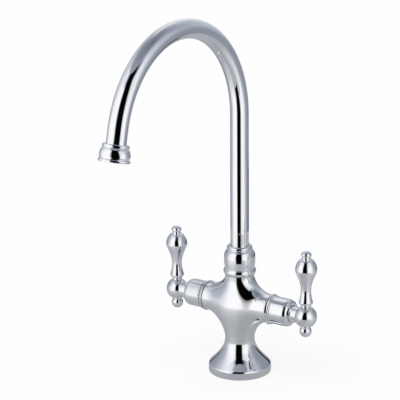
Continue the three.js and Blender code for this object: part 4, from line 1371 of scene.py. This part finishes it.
@dataclass(frozen=True)
class Handle:
    """A ball hub with its collar, a baluster lever on top and a finial below."""

    side: Side
    ball: float = 10.9
    flat: float = 9.4
    collar_radius: float = 7.8
    collar_end: float = -16.1
    collar_join: float = 4.0
    stem_bore: float = 4.4
    stem_tip: float = -2.6
    lever_socket: float = 3.3
    finial_socket: float = 2.5
    socket_floor: float = 5.1
    clear: float = 14.0
    base: float = 9.7
    spigot: Point = (3.0, 5.4)  # radius, end
    bead: Spot = (4.45, 1.45, 0.4)  # radius, width, rise
    cup: Points = ((5.2, 12.8), (6.1, 13.15), (6.62, 13.8))
    baluster: Points = (
        (6.9, 15.2), (5.575, 20.6), (4.95, 27.2), (5.6, 32.762), (7.5, 38.942),
        (9.65, 43.886), (10.65, 47.8), (9.675, 52.6), (7.9, 55.8),
    )
    shoulder: Points = ((7.9, 55.8), (6.9, 57.195), (4.9, 58.28), (3.9, 58.9))
    button_height: float = 62.55
    button: Point = (5.0, 3.65)  # half width, half height
    button_start: float = -38.74
    finial_radius: float = 5.9
    finial_foot: Point = (4.3, 0.9)  # radius, drop below the flat
    finial_spigot: float = 2.2
    screw_place: float = -10.7
    screw_radius: float = 1.4
    screw_top: float = -4.4
    screw_length: float = 3.0
    screw_key: Point = (0.75, 1.5)  # half width over its corners, depth
    screw_hole_top: float = -2.0

    @property
    def screw_axis(self) -> Matrix:
        """Carries a piece made about the set screw's axis to its place."""
        return self.side.handle @ Matrix.Translation((self.screw_place, 0, 0))

    def hub(self) -> Mesh:
        """Turns the hub about the arm's axis, then mills its flats, sockets and screw hole.

        Returns:
            The mesh.
        """
        meet = math.degrees(math.asin(self.collar_radius / self.ball))
        start = meet - 90 + self.collar_join
        ball = oval((0, 0), (self.ball, self.ball), start, 90, steps=56)
        neck, (out, up) = self.collar_radius, ball[0]
        pulls = ((neck, up - 0.2), (out - 0.25, up - 0.28))
        join = flare((neck, up - 1.2), *pulls, (out, up), steps=6)
        bore = [(0.0, self.stem_tip), (self.stem_bore, self.stem_tip)]
        bore += [(self.stem_bore, self.collar_end), (neck, self.collar_end), join[0]]
        section = [*eased(bore, radius=0.25), *join[1:], *ball[1:-1], (0.0, self.ball)]
        lie = self.side.handle @ Matrix.Rotation(math.pi / 2, 4, "Y")
        hub = turned("hub", section, lie, sides=112)
        for up, socket in ((1, self.lever_socket), (-1, self.finial_socket)):
            floor, flat, clear = up * self.socket_floor, up * self.flat, up * self.clear
            mill = [(0.0, floor), (socket, floor), (socket, flat), (self.clear, flat)]
            mill += [(self.clear, clear), (0.0, clear)]
            hub = carved(hub, turned("mill", mill, self.side.handle, sides=48))
        drill = rod(self.screw_radius + GAP, -self.clear, self.screw_hole_top)
        return carved(hub, turned("drill", drill, self.screw_axis, sides=32))

    def lever(self) -> Mesh:
        """Turns the baluster lever, from its spigot to the button on top.

        Returns:
            The mesh.
        """
        (spigot, end), (radius, width, rise) = self.spigot, self.bead
        foot = [(spigot, end), (spigot, self.base)]
        for low in (self.base, self.base + width):
            foot += bead((radius, low), (radius, low + width), rise, steps=10)
        body, neck = through(self.baluster, steps=110), through(self.shoulder, steps=14)
        button = oval((0, self.button_height), self.button, self.button_start, 90, steps=26)
        outline = [(0.0, end), *eased([*foot, *self.cup], radius=0.12), *body, *neck[1:-1], *button]
        return turned("lever", outline, self.side.handle, sides=112)

    def finial(self) -> Mesh:
        """Turns the small ball under the hub.

        Returns:
            The mesh.
        """
        radius, (neck, drop), stalk = self.finial_radius, self.finial_foot, self.finial_spigot
        start = math.degrees(math.acos(neck / radius))
        centre = -self.base - drop - radius * math.sin(math.radians(start))
        ball = oval((0, centre), (radius, radius), start, -90, steps=40)
        end = -self.spigot[1]
        foot = [(0.0, end), (stalk, end), (stalk, -self.base), (neck, -self.base), ball[0]]
        return turned("finial", [*eased(foot, radius=0.12), *ball[1:]], self.side.handle)

    def screw(self) -> Mesh:
        """Makes the grub screw with its hexagon socket.

        Returns:
            The mesh.
        """
        bottom = self.screw_top - self.screw_length
        across, deep = self.screw_key
        body = eased(rod(self.screw_radius, bottom, self.screw_top), radius=0.25)
        key = turned("key", rod(across, bottom - 1, bottom + deep), self.screw_axis, sides=6)
        return carved(turned("grub", body, self.screw_axis, sides=40), key)

    def build(self, shop: Workshop) -> None:
        """Shows the handle's four pieces.

        Args:
            shop: Where pieces are fitted.
        """
        label, body = self.side.label, self.side.body
        for name, mesh, node, finish in (
            ("ball_hub", self.hub(), "handle_hub", CHROME),
            ("baluster_lever", self.lever(), "lever", CHROME),
            ("ball_finial", self.finial(), "lower_finial", CHROME),
            ("grub_screw", self.screw(), "set_screw", STEEL),
        ):
            shop.fit(f"{label}_{name}", mesh, finish, body, f"{label}_{node}")


# ------------------------------------------------------------------ under the deck


@dataclass(frozen=True)
class DeckFixings:
    """What holds the faucet under the deck and brings the water up."""

    shank_radius: float = 16.0
    shank_bore: float = 12.8
    shank_bottom: float = -55.0
    shank_top: float = 11.7
    shank_chamfers: Point = (0.8, 0.5)  # bottom, top
    thread_top: float = -1.0
    thread_steps: int = 260
    ring_bore: float = 16.3
    seal: Spot = (27.0, -23.0, -20.0)  # radius, bottom, top
    washer: Spot = (27.5, -25.3, -23.3)  # radius, bottom, top
    nut_corners: float = 24.5
    nut_top: float = -25.6
    nut_height: float = 9.0
    nut_chamfers: Point = (1.6, 0.6)  # outside, bore
    tail_radius: float = 5.0
    tail_bore: float = 3.0
    tail_bottom: float = -62.0
    tail_top: float = 21.7
    tail_offset: float = 6.4
    tail_chamfer: float = 0.5
    tail_grooves: Point = (3.4, 7.4)  # starts, above the tail's end
    groove: Point = (1.6, 0.7)  # width, depth
    gasket: Spot = (22.3, 27.7, 1.7)  # inner radius, outer radius, thickness

    def shank(self) -> Mesh:
        """Turns the shank and cuts its outer thread.

        Returns:
            The mesh.
        """
        r, bore, low, high = self.shank_radius, self.shank_bore, self.shank_bottom, self.shank_top
        start, end = self.shank_chamfers
        heights = np.linspace(low + start, high - end, self.thread_steps + 1)
        outline = [(bore, 0.0), (bore, low), (r - start, low), *plain((r, z) for z in heights)]
        outline += [(r - end, high), (bore, high), (bore, 0.0)]
        return turned("shank", outline, sides=72, thread=Thread(r, low + start, self.thread_top))

    def nut(self) -> Mesh:
        """Makes the hexagon lock nut with both its faces chamfered.

        Returns:
            The mesh.
        """
        bottom, top = self.nut_top - self.nut_height, self.nut_top
        corners, bore, middle = self.nut_corners, self.ring_bore, (bottom + top) / 2
        cut, ease_by = self.nut_chamfers
        trim = [(bore, middle), (bore, bottom + ease_by), (bore + ease_by, bottom)]
        trim += [(corners - cut, bottom), (corners, bottom + cut), (corners, top - cut)]
        trim += [(corners - cut, top), (bore + ease_by, top), (bore, top - ease_by), (bore, middle)]
        prism = turned("hexagon", rod(corners, bottom, top), sides=6)
        return carved(turned("lock_nut", trim), prism, Cut.INSIDE)

    def tail(self, side: Side) -> Mesh:
        """Turns an inlet tail with two grooves for its fitting's rings.

        Args:
            side: Which water it brings.

        Returns:
            The mesh.
        """
        r, bore, low, top = self.tail_radius, self.tail_bore, self.tail_bottom, self.tail_top
        cut, (width, deep) = self.tail_chamfer, self.groove
        outline = [(bore, 0.0), (bore, low), (r - cut, low), (r, low + cut)]
        for start in self.tail_grooves:
            near, far = low + start, low + start + width
            outline += [(r, near), (r - deep, near), (r - deep, far), (r, far)]
        outline += [(r, top), (bore, top), (bore, 0.0)]
        shift = Matrix.Translation((side.value * self.tail_offset, 0, 0))
        return turned("tail", eased(outline, radius=0.2), shift, sides=64)

    def build(self, shop: Workshop) -> None:
        """Shows the fixings and the inlet tails.

        Args:
            shop: Where pieces are fitted.
        """
        inner, outer, thick = self.gasket
        (seal, *seal_ends), (washer, *washer_ends) = self.seal, self.washer
        gasket = eased(collar(inner, outer, 0.0, thick), radius=0.4)
        deck_seal = eased(collar(self.ring_bore, seal, *seal_ends), radius=0.7)
        deck_washer = eased(collar(self.ring_bore, washer, *washer_ends), radius=0.35)
        for name, mesh, finish, node in (
            ("foot_gasket", turned("gasket", gasket), RUBBER, "base_gasket"),
            ("threaded_shank", self.shank(), BRASS, "mounting_shank"),
            ("rubber_deck_washer", turned("seal", deck_seal, sides=112), RUBBER, "deck_seal_washer"),
            ("steel_deck_washer", turned("washer", deck_washer, sides=112), STEEL, "mounting_washer"),
            ("hexagon_lock_nut", self.nut(), BRASS, "mounting_nut"),
            ("hot_supply_tail", self.tail(Side.HOT), COPPER, "hot_inlet_tail"),
            ("cold_supply_tail", self.tail(Side.COLD), COPPER, "cold_inlet_tail"),
        ):
            shop.fit(name, mesh, finish, Body.FIXED, node)


# ------------------------------------------------------------------ studio


def grey(level: float, cool: float = 1.0) -> Colour:
    """Mixes a studio grey.

    Args:
        level: How bright it looks, from 0 to 255.
        cool: How blue it is; whites and blacks stay neutral.

    Returns:
        The colour in linear light.
    """
    white, fade, cast = 250, 60, (-5, 0.5, 12)
    cool *= max(0.0, min(1.0, (white - level) / fade, level / fade))
    shown = (level + shift * cool for shift in cast)
    r, g, b = (((min(c, 255) / 255 + 0.055) / 1.055) ** 2.4 for c in shown)
    return r, g, b, 1.0


def bearing(azimuth: float, elevation: float) -> Vector:
    """Points from the faucet to a place round it, at angles in degrees."""
    a, e = math.radians(azimuth), math.radians(elevation)
    return Vector((math.sin(a) * math.cos(e), -math.cos(a) * math.cos(e), math.sin(e)))


class PaintedCard:
    """A round studio card that only shows in reflections, painted from tone to tone.

    A place on it is known by its turn from the card's front in degrees, its height in
    metres, and its reach from the frame's origin in millimetres.
    """

    strength: float = 1.03

    def __init__(self, title: str, outline: Outline, sides: int = 96, cool: float = 1.0) -> None:
        """Turns the card and wires up the turn, the height and the reach.

        Args:
            title: The card's name.
            outline: Its section, from an open edge to another.
            sides: How many faces make a full turn.
            cool: How blue its greys are.
        """
        self.card = stand(title, turned(title, outline, sides=sides))
        self.cool = cool
        material, w = fresh(title)
        self.card.data.materials.append(material)
        self.w = w
        spot = w.node("SeparateXYZ", {"Vector": w.object_space()}).outputs
        self.height = spot["Z"]
        ahead = w.maths("MULTIPLY", spot["Y"], -1.0)
        self.turn = w.maths("DEGREES", w.maths("ARCTAN2", spot["X"], ahead))
        far = w.node("VectorMath", {0: w.object_space()}, operation="LENGTH").outputs["Value"]
        self.reach = w.maths("MULTIPLY", far, 1 / MM)

    def tones(self, where: Socket, row: Points) -> Socket:
        """Paints a row of tones.

        Args:
            where: How far along the row a point lies.
            row: Place and level of each tone.

        Returns:
            The colour.
        """
        first, last = row[0][0], row[-1][0]
        stops = [((at - first) / (last - first), grey(level, self.cool)) for at, level in row]
        return self.w.ramp(self.w.spread(where, (first, last)), stops)

    def hang(self, colour: Socket, azimuth: float) -> None:
        """Finishes the card and turns its front to the camera.

        Args:
            colour: The painted colour.
            azimuth: Which way its front faces, in degrees.
        """
        glow = self.w.node("Emission", {"Color": colour, "Strength": self.strength})
        self.w.node("OutputMaterial", {"Surface": glow.outputs[0]})
        card = self.card
        card.rotation_euler.z = math.radians(azimuth)
        card.visible_camera = card.visible_diffuse = False
        card.visible_shadow = card.visible_transmission = False


@dataclass(frozen=True)
class LightTent:
    """The round tent that chrome mirrors: white and grey walls, a black flag, a grey deck.

    A row holds the place and the level of each tone. The wall's rows and the roof's run
    round, and the wall's fade into each other between the heights in lifts. The deck's run
    outwards, and side_shares says how much of the side's row shows at each angle.
    """

    azimuth: float
    radius: float = 470.0
    height: float = 1060.0
    inner: float = 17.0
    deck_height: float = -0.15
    skirting: Points = (
        (-180, 190), (-168, 150), (-160, 95), (-148, 100), (-138, 146), (-110, 178), (-80, 240),
        (-70, 253), (-36, 253), (-27, 3), (11, 3), (18, 235), (50, 250), (66, 205), (100, 145),
        (126, 125), (136, 45), (150, 45), (160, 125), (180, 190),
    )
    low: Points = (
        (-180, 182), (-150, 148), (-130, 152), (-100, 185), (-88, 222), (-70, 253), (-36, 253),
        (-27, 3), (11, 3), (18, 235), (32, 252), (50, 250), (66, 205), (82, 160), (105, 143),
        (135, 143), (160, 175), (180, 182),
    )
    middle: Points = (
        (-180, 238), (-164, 222), (-150, 196), (-100, 205), (-80, 233), (-60, 252), (-35, 248),
        (-27, 3), (12, 3), (20, 215), (45, 240), (70, 199), (100, 166), (140, 188), (168, 214),
        (180, 238),
    )
    upper: Points = (
        (-180, 226), (-162, 218), (-148, 176), (-130, 156), (-100, 200), (-72, 236), (-48, 222),
        (-34, 120), (-28, 4), (17, 4), (26, 110), (46, 196), (70, 182), (100, 152), (150, 188),
        (170, 204), (180, 226),
    )
    top: Points = (
        (-180, 196), (-160, 212), (-142, 160), (-120, 142), (-60, 156), (-28, 150), (10, 148),
        (60, 132), (120, 153), (180, 196),
    )
    lifts: Points = ((0.07, 0.11), (0.28, 0.5), (0.6, 0.72), (0.9, 0.94))
    roof_middle: Points = ((-180, 130), (-60, 128), (60, 114), (180, 130))
    roof_fade: Point = (1155.0, 1065.0)
    deck_rear: Points = ((0, 160), (200, 172), (470, 168))
    deck_side: Points = ((0, 160), (130, 190), (250, 212), (400, 246), (470, 250))
    side_shares: Points = (
        (-180, 0), (-115, 0), (-75, 1), (-45, 1), (-18, 0), (18, 0), (46, 0.75), (60, 0.7),
        (88, 0), (180, 0),
    )
    flag_middle: float = -8.0
    flag_width: float = 38.0
    flag_foot: float = 295.0
    flag_level: float = 3.0
    side_fade: Point = (2.0, -1.0)  # outside and inside the flag's edge, in degrees
    foot_fade: float = 7.0

    def wall(self) -> None:
        """Puts up the round wall."""
        card = PaintedCard("tent_wall", [(self.radius, 0.0), (self.radius, self.height)], 144)
        colour = card.tones(card.turn, self.skirting)
        rows = (self.low, self.middle, self.upper, self.top)
        for row, (start, end) in zip(rows, self.lifts, strict=True):
            rise: Inputs = {"Value": card.height, 1: start, 2: end}
            over = card.w.node("MapRange", rise, interpolation_type="SMOOTHSTEP").outputs[0]
            colour = card.w.mixed(over, colour, card.tones(card.turn, row))
        card.hang(colour, self.azimuth)

    def deck(self) -> None:
        """Lays the grey deck, which brightens to both sides and ends in the flag's foot."""
        flat = [(self.inner, self.deck_height), (self.radius, self.deck_height)]
        card = PaintedCard("tent_deck", flat, cool=0.35)
        w = card.w
        rear, side = (card.tones(card.reach, row) for row in (self.deck_rear, self.deck_side))
        stops = [((at + 180) / 360, (much, much, much, 1)) for at, much in self.side_shares]
        share = w.ramp(w.spread(card.turn, (-180.0, 180.0)), stops)
        off = w.maths("ABSOLUTE", w.maths("SUBTRACT", card.turn, self.flag_middle))
        outer, inner = (self.flag_width / 2 + fade for fade in self.side_fade)
        ahead = w.spread(off, (outer, inner))
        fade = (self.flag_foot - self.foot_fade, self.flag_foot + self.foot_fade)
        flag = w.maths("MULTIPLY", ahead, w.spread(card.reach, fade))
        black = w.node("RGB")
        black.outputs[0].default_value = grey(self.flag_level)
        colour = w.mixed(share, rear, side)
        card.hang(w.mixed(flag, colour, black.outputs[0]), self.azimuth)

    def roof(self) -> None:
        """Closes the tent with a blue-grey roof."""
        card = PaintedCard("tent_roof", [(0.0, self.height), (self.radius, self.height)])
        rim, middle = (card.tones(card.turn, row) for row in (self.top, self.roof_middle))
        inwards = card.w.spread(card.reach, self.roof_fade)
        card.hang(card.w.mixed(inwards, rim, middle), self.azimuth)

    def build(self) -> None:
        """Puts the tent up."""
        self.wall()
        self.deck()
        self.roof()


@dataclass(frozen=True)
class Studio:
    """A pale deck, soft light and the camera, with the tent that the chrome mirrors."""

    azimuth: float = 34.946
    elevation: float = 16.054
    roll: float = -0.533
    distance: float = 1506.5
    aim: Spot = (-38.42, 3.725, 171.85)  # across and up the picture, height
    lens: float = 139.717
    film: float = 36.0
    clip: Point = (0.05, 60.0)  # in metres
    floor_size: float = 9000.0
    floor_height: float = -0.2
    camera_glow: float = 0.8
    fill: float = 0.7

    def camera(self) -> None:
        """Sets the camera where the photograph was taken from."""
        a, lean = math.radians(self.azimuth), math.radians(self.roll)
        back, level = bearing(self.azimuth, self.elevation), Vector((math.cos(a), math.sin(a), 0))
        rise = back.cross(level)
        right = math.cos(lean) * level + math.sin(lean) * rise
        up = math.cos(lean) * rise - math.sin(lean) * level
        across, higher, height = self.aim
        eye = Z_WAY * height + back * self.distance + right * across + up * higher
        data = bpy.data.cameras.new("view")
        data.lens, data.sensor_width = self.lens, self.film
        data.clip_start, data.clip_end = self.clip
        camera = stand("view", data)
        turn = Matrix((right, up, back)).transposed().to_4x4()
        camera.matrix_world = Matrix.Translation(eye * MM) @ turn
        bpy.context.scene.camera = camera

    def world(self) -> None:
        """Surrounds everything with plain white, which lights the faucet less than it shows."""
        world = bpy.data.worlds.new("studio")
        world.use_nodes = True
        bpy.context.scene.world = world
        w = Wiring(world.node_tree)
        path = w.node("LightPath").outputs
        seen = w.maths("MAXIMUM", path["Is Camera Ray"], path["Is Glossy Ray"])
        seen = w.maths("MAXIMUM", seen, path["Is Transmission Ray"])
        shown = w.node("Background", {"Color": (1, 1, 1, 1), "Strength": 1.0})
        fill = w.node("Background", {"Color": (0.97, 0.98, 1, 1), "Strength": self.fill})
        w.node("OutputWorld", {"Surface": w.blended(seen, fill, shown).outputs[0]})

    def sun(self, azimuth: float, elevation: float, strength: float, spread: float) -> None:
        """Adds a far, soft lamp.

        Args:
            azimuth: Where it stands round the faucet, in degrees.
            elevation: How high it stands, in degrees.
            strength: Its light, in watts per square metre.
            spread: How wide it is, in degrees.
        """
        data = bpy.data.lights.new("softbox", "SUN")
        data.energy, data.angle = strength, math.radians(spread)
        lamp = stand("softbox", data)
        lamp.rotation_euler = (-bearing(azimuth, elevation)).to_track_quat("-Z", "Y").to_euler()
        lamp.visible_glossy = False

    def floor(self) -> None:
        """Lays the pale deck that the foot stands on; from below it is seen through."""
        size, z = self.floor_size, self.floor_height
        corners = [(-size, -size, z), (size, -size, z), (size, size, z), (-size, size, z)]
        deck = stand("deck", made("deck", corners, [(0, 1, 2, 3)]))
        material, w = fresh("PaleDeck")
        deck.data.materials.append(material)
        cloud = Grain(6).share(w, w.object_space())
        paint = w.tint(cloud, (0.955, 0.955, 0.955, 1), (0.965, 0.965, 0.965, 1))
        pale = w.node("BsdfPrincipled", {"Base Color": paint, "Roughness": 0.9})
        white = w.node("Emission", {"Color": (1, 1, 1, 1), "Strength": 1.0})
        glow = w.maths("MULTIPLY", w.node("LightPath").outputs["Is Camera Ray"], self.camera_glow)
        below = w.node("NewGeometry").outputs["Backfacing"]
        shown = w.blended(below, w.blended(glow, pale, white), w.node("BsdfTransparent"))
        w.node("OutputMaterial", {"Surface": shown.outputs[0]})
        deck.visible_glossy = False

    def build(self) -> None:
        """Sets the camera, the light, the deck and the tent."""
        self.camera()
        self.world()
        self.floor()
        self.sun(azimuth=-10, elevation=58, strength=0.8, spread=40)
        self.sun(azimuth=80, elevation=50, strength=0.35, spread=50)
        LightTent(self.azimuth).build()


def main() -> None:
    """Builds the faucet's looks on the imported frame."""
    logging.basicConfig(level=logging.INFO, format="%(message)s")
    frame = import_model()
    shop = Workshop(frame["nodes"])
    spout = Gooseneck()
    for part in (CastBody(), SpoutNut(), spout, SpoutTip(spout.tip)):
        part.build(shop)
    for side in Side:
        Valve(side).build(shop)
        Handle(side).build(shop)
    DeckFixings().build(shop)
    Studio().build()
    bpy.context.scene.view_settings.view_transform = "Standard"


if __name__ == "__main__":
    main()
